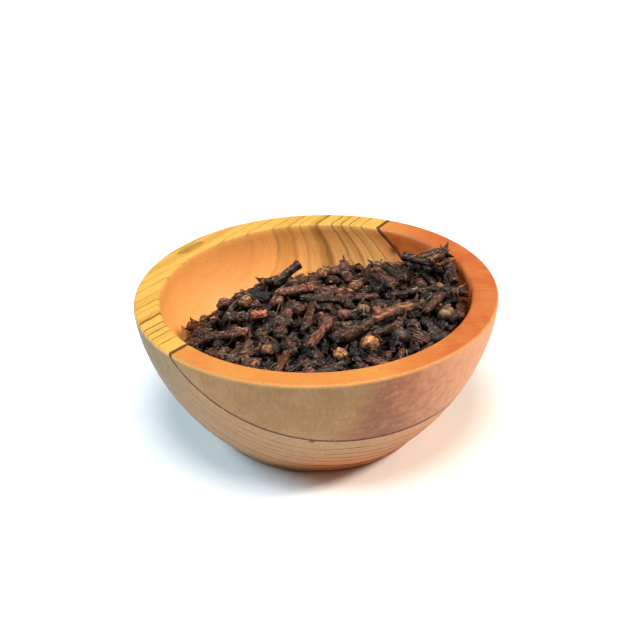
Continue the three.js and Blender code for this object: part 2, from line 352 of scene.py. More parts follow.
# The fade on the left outside brings in painted cool shade, not a change in the wood.
LEFT_SHADE_FADE = (-28.0, -44.0)
RIGHT_OUTSIDE = (4.0, 30.0)
FRONT_OUTSIDE = (10.0, -10.0)
RIGHT_RIM = (12.0, 40.0)
LOW_OUTSIDE = (13.0, 3.0)
LOW_MIDDLE = (-22.0, 4.0)
UNDER_JOINT = (6.5, 1.5)
UNWORN_RIGHT = (-10.0, 12.0)
# The brown smear on the front: where its edge lies, at which height, and how the edge leans.
SMEAR_EDGE = 7.0
SMEAR_HEIGHT = 24.0
SMEAR_LEAN = 0.5
SMEAR_SOFT = (-4.5, 5.0)
SMEAR_DARK = (18.0, 8.0)
SMEAR_DARK_BAND = (14.5, 4.0)
SMEAR_RIGHT = (14.0, 42.0)
SMEAR_BACK = (-4.0, 14.0)
# The dark seam's thickness outside, and what the rim and the inside add to it, mm.
SEAM_THICK = 0.34
SEAM_RIM_MORE = 0.12
SEAM_INSIDE_MORE = 0.1
WOOD_RELIEF_MM = 0.07


def outer_radius(bowl, depth):
    return bowl.rim_radius * math.sqrt(max(0.0, 1 - (depth / bowl.wall_reach) ** bowl.wall_power))


def hollow_radius(bowl, depth, gap=0.0):
    """The hollow's radius at a depth below the rim, drawn in by a gap. Above the rim it is upright."""
    share = np.clip(depth / (bowl.height * bowl.hollow_share - gap), 0.0, 1.0)
    return (bowl.rim_radius * bowl.mouth_share - gap) * np.sqrt(1 - share**bowl.hollow_power)


def edge_arc(radius, height, rounding, start, end):
    """Points on a round edge, from one angle to another."""
    angles = np.linspace(start, end, EDGE_STEPS + 1)
    return [(radius + rounding * math.cos(a), height + rounding * math.sin(a)) for a in angles]


def bowl_profile(bowl):
    """The profile, from the foot's middle to the hollow's: radius, height, outside and inside."""
    foot = outer_radius(bowl, bowl.height - FOOT_EDGE_ROUND) - FOOT_EDGE_ROUND
    top = bowl.height - OUTER_EDGE_ROUND
    mouth = bowl.rim_radius * bowl.mouth_share
    outer = [(share * foot, 0.0) for share in np.linspace(0, 1, FOOT_STEPS)]
    outer += edge_arc(foot, FOOT_EDGE_ROUND, FOOT_EDGE_ROUND, -math.pi / 2, FOOT_ROUND_END)[1:]
    for height in np.linspace(FOOT_EDGE_ROUND * 1.1, top, WALL_STEPS):
        outer.append((outer_radius(bowl, bowl.height - height), height))
    edge = edge_arc(bowl.rim_radius - OUTER_EDGE_ROUND, top, OUTER_EDGE_ROUND, 0.0, math.pi / 2)[1:]
    outer.append(edge[0])
    rim = edge[1:]
    flat = np.linspace(bowl.rim_radius - OUTER_EDGE_ROUND, mouth + INNER_EDGE_ROUND, RIM_STEPS)
    rim += [(radius, bowl.height) for radius in flat[1:-1]]
    lip = bowl.height - INNER_EDGE_ROUND
    rim += edge_arc(mouth + INNER_EDGE_ROUND, lip, INNER_EDGE_ROUND, math.pi / 2, LIP_ROUND_END)
    depth = bowl.height * bowl.hollow_share
    inner = []
    for turn in np.linspace(0, math.pi / 2, HOLLOW_STEPS):
        below = INNER_EDGE_ROUND + (depth - INNER_EDGE_ROUND) * math.sin(turn)
        inner.append((hollow_radius(bowl, below), bowl.height - below))
    sides = [(1.0, 0.0)] * len(outer) + [(0.0, 0.0)] * len(rim) + [(0.0, 1.0)] * len(inner)
    return np.hstack([np.array(outer + rim + inner), np.array(sides)])


def bearings_of(sides):
    """Equal steps round a circle."""
    return np.arange(sides) / sides * 2 * math.pi


def lathe(profile, sides):
    """Rings of a closed turned solid. The profile starts and ends on the axis."""
    bearings = bearings_of(sides)
    rings = profile[1:-1]
    points = np.empty((len(rings), sides, 3))
    points[:, :, 0] = rings[:, :1] * np.cos(bearings)
    points[:, :, 1] = rings[:, :1] * np.sin(bearings)
    points[:, :, 2] = rings[:, 1:2]
    return points


def bowl_relief(points):
    """Tool marks and the slight unevenness of hand turning, along the surface's own radius."""
    x, y, z = points[:, :, 0], points[:, :, 1], points[:, :, 2]
    bearing = np.arctan2(y, x)
    swell = 0.05 * np.sin(3 * bearing + 0.4) + 0.035 * np.sin(5 * bearing + z * 0.08)
    rings = 0.012 * np.sin(z * 4.1 + 0.6 * np.sin(2 * bearing))
    radius = np.hypot(x, y)
    grow = 1 + (swell + rings) / np.maximum(radius, 8.0)
    points[:, :, 0] *= grow
    points[:, :, 1] *= grow
    return points


class BowlWood:
    """The wood of both boards, on one material."""

    def __init__(self, bowl):
        self.bowl = bowl
        self.paint = Paint("bowl_wood", IOR=1.38)
        self.point = self.paint.point()
        self.x, self.y, self.z = (self.point.part(index) for index in range(3))
        self.outside = self.paint.attribute("outside", "Fac")
        self.inside = self.paint.attribute("inside", "Fac")
        self.below = self.joint_height() - self.z
        self.mottle = self.paint.noise(self.point, 0.16, 3.0)
        self.fine = self.paint.noise(self.point, 1.4, 3.0)
        self.streaks = self.stretched((0.12, 1.7, 1.7), 4.0, 0.6)
        self.broad = self.stretched((0.06, 0.6, 0.6))

    def stretched(self, scale, detail=2.0, rough=0.5):
        """Noise that is drawn out along the directions where its scale is small."""
        return self.paint.noise(self.paint.scaled(self.point, scale), 1.0, detail, rough)

    def joint_height(self):
        """Height of the face where the two boards meet."""
        right, back = self.bowl.joint_rise
        across, twist, deep = self.bowl.joint_bend
        x, y = self.x, self.y
        flat = self.bowl.joint_height + x * right + y * back
        return flat + x * x * across + x * y * twist + y * y * deep

    def near(self, value, middle, half_width):
        """1 where a value is at a middle, 0 beyond about twice a half width from it."""
        return 1 - (abs(value - middle) / half_width).ramp_up(0.5, 2.0)

    def growth_depth(self):
        """Depth under the joint, wavering, and drawn together towards the rim at the back."""
        shallow = (self.bowl.height - self.z).least(FAN_DEPTH)
        waver = (self.paint.noise(self.point, 0.07, 1.0) - 0.5) * 2.0
        waver = waver + (self.paint.noise(self.point, 0.35, 2.0) - 0.5) * 0.8
        return self.below * (1 - shallow * FAN_RATE * self.y.ramp_up(*FAN_BACK)) + waver

    def striped_ground(self, depth, clear):
        """The striped board's colour without its bands and lines, with painted cool shade on its left side
        outside.
        """
        paint, bowl = self.paint, self.bowl
        inner = paint.mix(clear, bowl.inner_striped, bowl.inner_left)
        low = self.z.ramp_up(*LOW_OUTSIDE) * self.x.ramp_up(*LOW_MIDDLE)
        outer = paint.mix(low, bowl.outer_striped, bowl.outer_low)
        # Painted cool shade on the left side outside.
        outer = paint.mix(self.x.ramp_up(*LEFT_SHADE_FADE) * 0.8, outer, bowl.outer_left_cool_shade)
        right = self.x.ramp_up(*RIGHT_OUTSIDE) * self.y.ramp_up(*FRONT_OUTSIDE)
        outer = paint.mix(right * 0.6, outer, bowl.outer_right)
        wood = paint.mix(self.inside, bowl.rim_striped, inner)
        wood = paint.mix(self.outside, wood, outer)
        return paint.mix(self.inside * depth.ramp_up(*UNDER_JOINT) * 0.6, wood, bowl.inner_plain)

    def growth_lines(self, depth, grain, clear):
        """The dark lines, broken along the grain, worn in places outside and faint inside."""
        uneven = self.paint.noise(self.point, 0.3, 2.0) * 1.3 + 0.35
        wide = (self.inside * 0.4 + self.outside * 0.3 + 1) * uneven
        lines = 0.0
        for middle, half_width, share in GROWTH_LINES:
            lines = self.near(depth, middle, wide * half_width) * share + lines
        broken = grain.ramp_up(0.2, 0.55) * 0.6 + 0.4
        worn = self.outside * (1.7 * self.mottle - 0.4 - self.x.ramp_up(*UNWORN_RIGHT) * 0.5)
        faint = self.inside * (clear * 0.5 + 0.4)
        return (lines * broken * (1 - worn) * (1 - faint)).least(0.9)

    def striped_board(self):
        """The striped board's colour, and its growth lines."""
        paint, bowl = self.paint, self.bowl
        depth = self.growth_depth()
        along = self.x * 0.67 + self.y * 0.74
        grain = paint.noise(paint.triple(depth * 1.7, along * 0.12, self.z * 0.12), 1.0, 3.0, 0.6)
        fine_grain = paint.noise(paint.triple(depth * 4.5, along * 0.2, self.z * 0.2), 1.0, 2.0)
        clear = self.x.ramp_up(*LEFT_INSIDE)
        wood = self.striped_ground(depth, clear)
        strength = (1 - self.outside * 0.35) * (1 - self.inside * clear * 0.85)
        bands = 0.0
        for middle, half_width, share in WARM_BANDS:
            bands = self.near(depth, middle, half_width) * share + bands
        wood = paint.mix(bands * strength * 0.65, wood, bowl.warm_band)
        streaks = grain.ramp_up(0.5, 0.8) * 0.4 + fine_grain.ramp_up(0.5, 0.75) * 0.35
        wood = paint.mix((streaks * (0.35 + 0.65 * strength)).least(1.0), wood, bowl.warm_band)
        lines = self.growth_lines(depth, grain, clear)
        wood = paint.mix(lines, wood, bowl.growth_line)
        return paint.mix(self.rim_streak(), wood, bowl.growth_line), lines

    def rim_streak(self):
        """A short brown streak along the rim."""
        start, end, reach, dark = RIM_STREAK
        length = math.dist(start, end)
        over = self.paint.apart(self.point, start) + self.paint.apart(self.point, end) - length
        ragged = over + (self.mottle - 0.5) * 2.0 + (self.fine - 0.5) * 0.6
        return (1 - ragged.ramp_up(0.0, reach)) * dark * (1 - self.inside)

    def smear(self):
        """The brown smear's colour on the front outside, and how strongly it covers the wood."""
        paint, bowl, streaks, broad = self.paint, self.bowl, self.streaks, self.broad
        patches = self.stretched((0.1, 0.1, 0.3))
        deep = (self.z + (patches - 0.5) * 30.0 - self.x * 0.5).ramp_up(*SMEAR_DARK)
        dark = deep + self.near(self.x + (broad - 0.5) * 14.0, *SMEAR_DARK_BAND) * 0.8
        share = (streaks.ramp_up(0.42, 0.6) * 0.5 + dark * 0.55).least(1.0)
        tone = paint.mix(share, bowl.blush, bowl.blush_dark)
        right = (self.x + (streaks - 0.5) * 12.0 + (broad - 0.5) * 24.0).ramp_up(*SMEAR_RIGHT)
        tone = paint.mix(right * 0.95, tone, bowl.outer_right)
        pale = broad.ramp_up(0.56, 0.7) * 0.45 + streaks.ramp_up(0.6, 0.75) * 0.3
        tone = paint.mix(pale, tone, bowl.outer_striped)
        edge = self.x - (self.z - SMEAR_HEIGHT) * SMEAR_LEAN - SMEAR_EDGE
        ragged = edge + (self.mottle - 0.5) * 10.0 + (streaks - 0.5) * 5.0 + (broad - 0.5) * 16.0
        back = (self.y + (broad - 0.5) * 20.0).ramp_up(*SMEAR_BACK)
        cover = ragged.ramp_up(*SMEAR_SOFT) * (1 - back * 0.85)
        return tone, cover * (streaks.ramp_up(0.75, 0.45) * 0.3 + 0.65)

    def plain_board(self):
        paint, bowl, streaks = self.paint, self.bowl, self.streaks
        mottle = self.mottle.ramp_up(0.4, 0.65)
        rim = paint.mix(self.x.ramp_up(*RIGHT_RIM), bowl.rim_plain, bowl.rim_right)
        rim = paint.mix(self.inside, rim, bowl.inner_plain)
        rim = paint.mix(mottle * 0.15, rim, bowl.rim_striped)
        rim = paint.mix(streaks.ramp_up(0.5, 0.75) * 0.2, rim, bowl.rim_striped)
        rim = paint.mix(streaks.ramp_up(0.5, 0.25) * 0.2, rim, bowl.blush)
        outer = paint.mix(mottle * 0.6, bowl.outer_plain, bowl.outer_striped)
        warm = streaks.ramp_up(0.5, 0.7) * 0.3 + self.broad.ramp_up(0.5, 0.3) * 0.2
        outer = paint.mix(warm, outer, bowl.warm_band)
        tone, cover = self.smear()
        return paint.mix(self.outside, rim, paint.mix(cover, outer, tone))

    def seam(self):
        """The dark line between the boards, thicker over the rim and inside."""
        jitter = self.paint.noise(self.point, 0.8, 2.0) * 0.8 + 0.6
        thick = (SEAM_THICK + (1 - self.outside) * SEAM_RIM_MORE + self.inside * SEAM_INSIDE_MORE) * jitter
        line = 1 - (abs(self.below) / thick).ramp_up(0.7, 1.6)
        for centre, core, reach in JOINT_KNOTS:
            away = self.paint.apart(self.point, centre) + (self.fine - 0.5) * 1.4
            line = line.most((1 - away.ramp_up(core, reach)) * 0.9)
        return line

    def rim_edge(self):
        """1 along the rim's outer edge, where a highlight is painted, 0 elsewhere."""
        radius = (self.x * self.x + self.y * self.y) ** 0.5
        reach, height = self.bowl.rim_radius, self.bowl.height
        return self.z.ramp_up(height - 1.1, height - 0.7) * radius.ramp_up(reach - 0.7, reach - 0.3)

    def finished(self):
        """The material, with pores and flecks over both boards."""
        paint, bowl = self.paint, self.bowl
        striped, lines = self.striped_board()
        wood = paint.mix((self.below * 8).ramp_up(-1.0, 1.0), self.plain_board(), striped)
        seam = self.seam()
        # Painted highlight along the rim's outer edge.
        wood = paint.mix(self.rim_edge() * 0.4, wood, bowl.edge_highlight_and_flecks)
        wood = paint.mix(seam * 0.92, wood, bowl.glue_line)
        pores = self.stretched((0.66, 1.21, 3.52)).ramp_up(0.6, 0.74)
        wood = paint.mix(pores * 0.2, wood, bowl.growth_line)
        flecks = self.stretched((1.2, 0.9, 0.35), 3.0, 0.65)
        wood = paint.mix(flecks.ramp_up(0.48, 0.66) * self.outside * 0.16, wood, bowl.growth_line)
        wood = paint.mix(flecks.ramp_up(0.46, 0.3) * self.outside * 0.2, wood, bowl.edge_highlight_and_flecks)
        roughness = 0.42 + 0.16 * self.fine + 0.15 * seam + self.outside * 0.06
        relief = lines * -0.5 + self.fine * 0.5 - pores * 0.5 - seam * 1.2
        paint.surface(Base_Color=wood, Roughness=roughness, Normal=paint.bump(relief, WOOD_RELIEF_MM))
        return paint.material


# ---------------------------------------------------------------------------------------------------------
# Heap

# Mounds on the heap: place across and back, rise and reach, mm.
MOUNDS = ((35.0, 15.0, 4.5, 7.0), (-17.0, 9.0, 4.5, 10.0))
# The gap between the core and the bowl's wall, mm.
CORE_GAP = 0.5


def mound_rise(x, y):
    rise = 0.0
    for middle_x, middle_y, height, reach in MOUNDS:
        away = (x - middle_x) ** 2 + (y - middle_y) ** 2
        rise = rise + height * np.exp(-away / (2 * reach**2))
    return rise


def edge_depth(heap, bearing):
    """Depth below the rim at which the heap meets the wall."""
    towards_low = 0.5 + 0.5 * np.cos(bearing - heap.low_side)
    fall = heap.low_edge_depth - heap.high_edge_depth
    return heap.high_edge_depth + fall * towards_low**heap.low_side_power


def heap_height(bowl, heap, share, bearing):
    """Height of the heap's mean top, at a share of the way from the axis to its edge."""
    edge = edge_depth(heap, bearing)
    reach = share * hollow_radius(bowl, edge, CORE_GAP)
    rise = mound_rise(reach * np.cos(bearing), reach * np.sin(bearing))
    depth = heap.crown_depth + (edge - heap.crown_depth) * share**heap.crown_power
    return bowl.height - depth + rise


def heap_edge_radius(bowl, heap, bearing):
    return hollow_radius(bowl, edge_depth(heap, bearing), CORE_GAP)


def heap_height_at(bowl, heap, x, y):
    bearing = np.arctan2(y, x)
    share = np.minimum(1.0, np.hypot(x, y) / heap_edge_radius(bowl, heap, bearing))
    return heap_height(bowl, heap, share, bearing)


# The core, which fills the bowl under the cloves: its mesh, least thickness and unevenness, mm.
CORE_SIDES = 72
CORE_ROWS = 16
CORE_LEAST = 1.5
CORE_ROUGH = 0.5


def core_rings(bowl, heap):
    """Rings of the core: up the hollow's wall, then in over its uneven top."""
    draw = np.random.default_rng(heap.seed + 3)
    rings = np.empty((CORE_ROWS * 2, CORE_SIDES, 3))
    floor = bowl.height * bowl.hollow_share - CORE_GAP
    for side, bearing in enumerate(bearings_of(CORE_SIDES)):
        top = min(float(edge_depth(heap, bearing)) + heap.core_drop, floor - CORE_LEAST)
        rows = []
        for row in range(CORE_ROWS):
            turn = (row + 1) / CORE_ROWS * math.pi / 2
            depth = top + (floor - top) * math.cos(turn)
            rows.append((hollow_radius(bowl, depth, CORE_GAP), bowl.height - depth))
        wall = hollow_radius(bowl, top, CORE_GAP)
        for row in range(CORE_ROWS):
            share = 1 - (row + 1) / (CORE_ROWS + 1)
            height = heap_height(bowl, heap, share, bearing) - heap.core_drop
            height = max(height, bowl.height - floor + CORE_LEAST) + draw.uniform(-CORE_ROUGH, CORE_ROUGH)
            rows.append((share * wall, height))
        for row, (radius, height) in enumerate(rows):
            rings[row, side] = (radius * math.cos(bearing), radius * math.sin(bearing), height)
    return rings


# ---------------------------------------------------------------------------------------------------------
# Meshes of many pieces

# Each piece's grain is drawn out along it, and starts at a place of its own.
GRAIN_STRETCH = (1.0, 1.0, 0.3)
GRAIN_STEPS = (7.3, 3.1, 11.7)
GRAIN_PERIOD = 50
# How far under the heap's canopy the shade in the gaps starts and is full, mm, and how dark it is.
GAP_START = 0.2
GAP_REACH = 2.2
GAP_SHADE = 0.92


class Shape:
    """Points, faces and point colours of one piece, gathered part by part, in millimetres."""

    def __init__(self):
        self.points = []
        self.faces = []
        self.colours = []
        self.count = 0

    def add_skin(self, rings, colours=(1.0, 1.0, 1.0)):
        """A skin over rings of points, closed at its ends. Colours: one, or one for each point."""
        rows, sides = rings.shape[:2]
        start = self.count
        index = np.arange(rows * sides).reshape(rows, sides) + start
        after = np.roll(index, -1, axis=1)
        quads = np.stack([index[:-1], after[:-1], after[1:], index[1:]], axis=-1).reshape(-1, 4)
        points = rings.reshape(-1, 3)
        colours = np.broadcast_to(colours, (rows, sides, 3)).reshape(-1, 3)
        faces = [tuple(quad) for quad in quads.tolist()]
        first = (rings[0].mean(0), colours[0], index[0][::-1])
        last = (rings[-1].mean(0), colours[-1], index[-1])
        for middle, shade, ring in (first, last):
            centre = start + len(points)
            points = np.vstack([points, middle])
            colours = np.vstack([colours, shade])
            ring = ring.tolist()
            faces += [(ring[i], ring[(i + 1) % sides], centre) for i in range(sides)]
        self.points.append(points)
        self.colours.append(colours)
        self.faces += faces
        self.count += len(points)
        return self

    def all_points(self):
        return np.concatenate(self.points)

    def all_colours(self):
        return np.concatenate(self.colours)

    def placed(self, place):
        """The points after a 4 by 4 placement, in millimetres."""
        matrix = np.array(place)
        return self.all_points() @ matrix[:3, :3].T + matrix[:3, 3]


def make_object(name, points_mm, faces, material, colours=None, grain=None, smooth=True):
    """A mesh object, in metres, with optional point colours and grain coordinates."""
    mesh = bpy.data.meshes.new(name)
    mesh.from_pydata((np.asarray(points_mm) * MM).tolist(), [], faces)
    if smooth:
        mesh.shade_smooth()
    if colours is not None:
        layer = mesh.attributes.new("tint", "FLOAT_COLOR", "POINT")
        rgba = np.ones((len(colours), 4), np.float32)
        rgba[:, :3] = colours
        layer.data.foreach_set("color", rgba.ravel())
    if grain is not None:
        layer = mesh.attributes.new("grain", "FLOAT_VECTOR", "POINT")
        layer.data.foreach_set("vector", np.asarray(grain, np.float32).ravel())
    mesh.materials.append(material)
    mesh.validate()
    piece = bpy.data.objects.new(name, mesh)
    bpy.context.scene.collection.objects.link(piece)
    return piece


def join_pieces(name, pieces, material, smooth, relief):
    """One object from many placed shapes, with painted shade darkening them where they lie in the heap's
    gaps.
    """
    canopy = relief.canopy()
    points, faces, colours, grain = [], [], [], []
    start = 0
    for number, piece in enumerate(pieces):
        placed = piece.shape.placed(piece.place)
        points.append(placed)
        faces += [tuple(index + start for index in face) for face in piece.shape.faces]
        sunk = canopy[relief.cell(placed[:, 0], placed[:, 1])] - placed[:, 2]
        light = 1 - GAP_SHADE * ((sunk - GAP_START) / GAP_REACH).clip(0.0, 1.0)
        colours.append(piece.shape.all_colours() * light[:, None])
        shift = [number * step % GRAIN_PERIOD for step in GRAIN_STEPS]
        grain.append(piece.shape.all_points() * GRAIN_STRETCH + shift)
        start += len(placed)
    colours, grain = np.concatenate(colours), np.concatenate(grain)
    return make_object(name, np.concatenate(points), faces, material, colours, grain, smooth)


class Piece:
    """A clove or a part of one, with its stand-in for settling and where it lies."""

    def __init__(self, kind, shape, hull, place):
        self.kind = kind
        self.shape = shape
        self.hull = hull
        self.place = place


# ---------------------------------------------------------------------------------------------------------
# Cloves

STEM_SIDES = 18
STEM_ROWS = 28
BUD_SIDES = 18
BUD_ROWS = 13
LOBE_SIDES = 7
LOBE_ROWS = 5
CUP_SIDES = 12
CORNERS = 4
LOBE_LOST = 0.12
WRINKLES = (4, 6, 9)
WRINKLE_DEPTH = 0.16
PETAL_DEPTH = 0.075
MOST_BEND = 0.009
# Random phases run from 0 to this, a little over a full turn.
ANY_PHASE = 6.3
# Pale scale on the skins' highest ridges: partly real, partly painted highlight.
SCURF_AND_HIGHLIGHT = np.array(colour(0xB88E74))
# How common each of the heap's colours is, on stems, buds, emptied cups and small chips.
STEM_TINTS = {
    "black_brown": 0.4,
    "brown": 0.18,
    "grey_brown": 0.15,
    "plum": 0.17,
    "red_brown": 0.05,
    "fawn": 0.05,
}
BUD_TINTS = {
    "black_brown": 0.42,
    "plum": 0.18,
    "red_brown": 0.13,
    "grey": 0.12,
    "drab": 0.04,
    "golden": 0.06,
    "tan": 0.05,
}
CUP_TINTS = {"red_brown": 0.35, "tan": 0.15, "black_brown": 0.5}
CHIP_TINTS = {"tan": 0.3, "dust_and_glint": 0.3, "orange": 0.15, "golden": 0.25}


def rings_of(radii, heights, sides, square=2.0, flat=1.0):
    """Rings round the z axis. A higher square gives squarer sections, and flat narrows them across y."""
    bearings = bearings_of(sides)
    cosine, sine = np.cos(bearings), np.sin(bearings)
    shape = (np.abs(cosine) ** square + np.abs(sine) ** square) ** (-1 / square)
    radii = np.asarray(radii)[:, None] * shape
    rings = np.empty((len(heights), sides, 3))
    rings[:, :, 0] = radii * cosine
    rings[:, :, 1] = radii * sine * flat
    rings[:, :, 2] = np.asarray(heights)[:, None]
    return rings


def wrinkle(rings, draw):
    """Lengthwise wrinkles that wander, cross folds and grains. Returns each point's relief, -1 to 1."""
    rows, sides = rings.shape[:2]
    bearings = bearings_of(sides)
    along = np.linspace(0, 1, rows)[:, None]
    relief = np.zeros((rows, sides))
    for ridges in WRINKLES:
        wander = draw.uniform(0.8, 2.6) * np.sin(draw.uniform(3, 9) * along + draw.uniform(0, ANY_PHASE))
        swell = 0.5 + 0.5 * np.sin(draw.uniform(5, 14) * along + draw.uniform(0, ANY_PHASE))
        relief += swell * np.sin(ridges * bearings[None, :] + wander + draw.uniform(0, ANY_PHASE))
    relief /= len(WRINKLES) * 0.6
    lean = 2.5 * np.sin(bearings[None, :] * 2 + draw.uniform(0, ANY_PHASE))
    relief += 0.45 * np.sin(draw.uniform(18, 34) * along + lean)
    relief += draw.normal(0, 0.3, (rows, sides))
    centre = rings.mean(axis=1, keepdims=True)
    outward = rings - centre
    reach = np.linalg.norm(outward, axis=2, keepdims=True)
    fade = np.minimum(1.0, reach / 0.8)
    rings += outward / np.maximum(reach, 1e-6) * relief[:, :, None] * WRINKLE_DEPTH * fade
    return relief


def shaded(base, relief, contrast, pale=0.0):
    """Point colours: painted shade in the furrows and painted highlight on the ridges, and on the highest
    a pale scale that is partly real and partly painted highlight.
    """
    relief = relief[..., None]
    scurf_and_highlight = (relief - 0.55).clip(0.0, 1.0) * pale
    return np.asarray(base) * (1 + contrast * relief).clip(0.2, 2.2) * (1 - scurf_and_highlight) + SCURF_AND_HIGHLIGHT * scurf_and_highlight


def add_stem(shape, draw, length, tail, shoulder, base, end_tint):
    """The four-cornered stem, from a broken tail up to the shoulder under the lobes."""
    share = np.concatenate([[0.0, 0.012, 0.035], np.linspace(0.07, 1, STEM_ROWS - 3)])
    swell = tail + (shoulder - tail) * share ** draw.uniform(0.6, 1.4)
    waist = -0.16 * np.exp(-(((share - draw.uniform(0.8, 0.92)) / 0.07) ** 2))
    lump = 0.12 * np.sin(share * draw.uniform(5, 11) + draw.uniform(0, ANY_PHASE))
    radii = np.maximum(swell + waist + lump, 0.3)
    radii[:3] *= (0.55, 0.85, 0.97)
    rings = rings_of(radii, share * length, STEM_SIDES, square=2.6, flat=draw.uniform(0.7, 0.95))
    rings[:2, :, 2] += draw.normal(0, 0.2, (2, STEM_SIDES))
    relief = wrinkle(rings, draw)
    fresh = np.exp(-share * 60)[:, None, None] * draw.choice((0.0, 0.0, 0.2, 0.7))
    tone = np.asarray(base) * (1 - fresh) + np.asarray(end_tint) * fresh
    shape.add_skin(rings, shaded(tone, relief, 0.85, draw.uniform(0.1, 1.0)))


def add_lobe(shape, draw, bearing, radius, height, reach, spread, tint_low, tint_tip):
    """One pointed lobe, a thick tongue that bends outward from the shoulder."""
    along = np.linspace(0, 1, LOBE_ROWS)
    lean = spread * (0.35 + 0.75 * along)
    steps = np.full(LOBE_ROWS, reach / (LOBE_ROWS - 1))
    steps[0] = 0
    out = radius + np.cumsum(steps * np.sin(lean))
    up = height + np.cumsum(steps * np.cos(lean))
    half_width = draw.uniform(0.85, 1.15) * (1 - along) ** 0.9 + 0.04
    half_thick = draw.uniform(0.32, 0.46) * (1 - along) ** 0.6 + 0.05
    turns = bearings_of(LOBE_SIDES)
    radial = np.array([math.cos(bearing), math.sin(bearing), 0])
    across = np.array([-math.sin(bearing), math.cos(bearing), 0])
    rise = np.array([0, 0, 1.0])
    rings = np.empty((LOBE_ROWS, LOBE_SIDES, 3))
    for row in range(LOBE_ROWS):
        normal = radial * math.cos(lean[row]) - rise * math.sin(lean[row])
        middle = radial * out[row] + rise * up[row]
        wide = across * half_width[row] * np.cos(turns)[:, None]
        thick = normal * half_thick[row] * np.sin(turns)[:, None]
        rings[row] = middle + wide + thick
    rings += draw.normal(0, 0.06, rings.shape)
    tone = np.asarray(tint_low) * (1 - along[:, None]) + np.asarray(tint_tip) * along[:, None]
    relief = draw.uniform(-1, 1, (LOBE_ROWS, LOBE_SIDES))
    shape.add_skin(rings[:, ::-1], shaded(tone[:, None, :], relief, 0.5, 0.25))


def add_bud(shape, draw, radius, base_height, base, stub=0.0):
    """The round bud of four petals that lap over each other."""
    angles = np.linspace(0.08, math.pi - 0.02, BUD_ROWS)
    heights = base_height + radius * draw.uniform(0.8, 0.95) * (1 - np.cos(angles))
    radii = radius * np.sin(angles) ** 0.85
    radii = np.maximum(radii, 0.03)
    rings = rings_of(radii, heights, BUD_SIDES, square=2.2, flat=draw.uniform(0.88, 1.0))
    bearings = bearings_of(BUD_SIDES)
    twist = draw.uniform(-0.5, 0.5) * angles[:, None] + draw.uniform(0, ANY_PHASE)
    seam = np.abs(np.sin(2 * (bearings[None, :] + twist))) ** 0.35 - 0.8
    rough = draw.normal(0, 0.4, (BUD_ROWS, BUD_SIDES))
    rough += 0.5 * np.sin(3 * bearings[None, :] + 2.3 * angles[:, None] + draw.uniform(0, ANY_PHASE))
    relief = seam * 2.0 * np.clip(np.sin(angles)[:, None] * 1.4, 0, 1) + rough
    centre = np.array([0, 0, base_height + radius * 0.9])
    outward = rings - centre
    outward /= np.linalg.norm(outward, axis=2, keepdims=True)
    rings += outward * relief[:, :, None] * PETAL_DEPTH * radius
    # Painted shade: each bud is darker towards its bottom, where less light falls.
    low = np.clip(1 - angles / 1.9, 0, 1)[:, None, None]
    tone = np.asarray(base) * (1 - 0.8 * low)
    shape.add_skin(rings, shaded(tone, relief, 0.75, 0.3))
    if stub:
        neck = rings_of([radius * 0.62, radius * 0.7], [base_height - stub, base_height + 0.5], CUP_SIDES)
        shape.add_skin(neck, np.asarray(base) * 0.4)


def add_thread(shape, points, radius, shade, sides=4):
    """A thin round thread along points."""
    points = np.asarray(points, float)
    ahead = np.gradient(points, axis=0)
    ahead /= np.linalg.norm(ahead, axis=1, keepdims=True)
    helper = np.array([0.13, 0.21, 0.97])
    first = np.cross(ahead, helper)
    first /= np.linalg.norm(first, axis=1, keepdims=True)
    second = np.cross(ahead, first)
    turns = bearings_of(sides)
    thin = np.interp(np.linspace(0, 1, len(points)), [0, 0.15, 0.7, 1], [0.7, 1, 0.9, 0.4]) * radius
    cosine, sine = np.cos(turns)[None, :, None], np.sin(turns)[None, :, None]
    around = first[:, None, :] * cosine + second[:, None, :] * sine
    shape.add_skin(points[:, None, :] + thin[:, None, None] * around, np.asarray(shade))


def bend(shape, draw, length):
    """Bends a piece a little along its length."""
    sideways = draw.uniform(-MOST_BEND, MOST_BEND)
    bearing = draw.uniform(0, 2 * math.pi)
    for points in shape.points:
        offset = sideways * (points[:, 2] - length * 0.5) ** 2
        points[:, 0] += offset * math.cos(bearing)
        points[:, 1] += offset * math.sin(bearing)


def hull_of(*rows):
    """Corner points of a stand-in: six-sided rings, each a height and a radius."""
    turns = [k * math.pi / 3 for k in range(6)]
    corners = []
    for height, radius in rows:
        corners += [(radius * math.cos(turn), radius * math.sin(turn), height) for turn in turns]
    return np.array(corners)


def picked(draw, heap, shares):
    """One of the heap's colours by its share, a little lighter or darker."""
    name = list(shares)[draw.choice(len(shares), p=list(shares.values()))]
    return np.array(getattr(heap, name)) * draw.uniform(0.7, 1.25)


def own_tint(draw, heap, shares, tone):
    """A given colour, or one of the heap's where none is given."""
    return picked(draw, heap, shares) if tone is None else np.array(tone)


def add_head(shape, draw, heap, height, radius, base):
    """The four lobes round the top of a stem, one of them sometimes broken off."""
    spread = draw.uniform(0.6, 1.35)
    turn = draw.uniform(-0.1, 0.1)
    reddish = draw.choice((0.05, 0.15, 0.5))
    tip = base * (1 - reddish) + np.array(heap.red_brown) * reddish
    for corner in range(CORNERS):
        bearing = corner * math.pi / 2 + turn + draw.uniform(-0.15, 0.15)
        if draw.random() < LOBE_LOST:
            continue
        reach = draw.uniform(1.9, 3.2)
        lean = spread + draw.uniform(-0.25, 0.25)
        add_lobe(shape, draw, bearing, radius * 0.72, height - 0.6, reach, lean, base, tip)


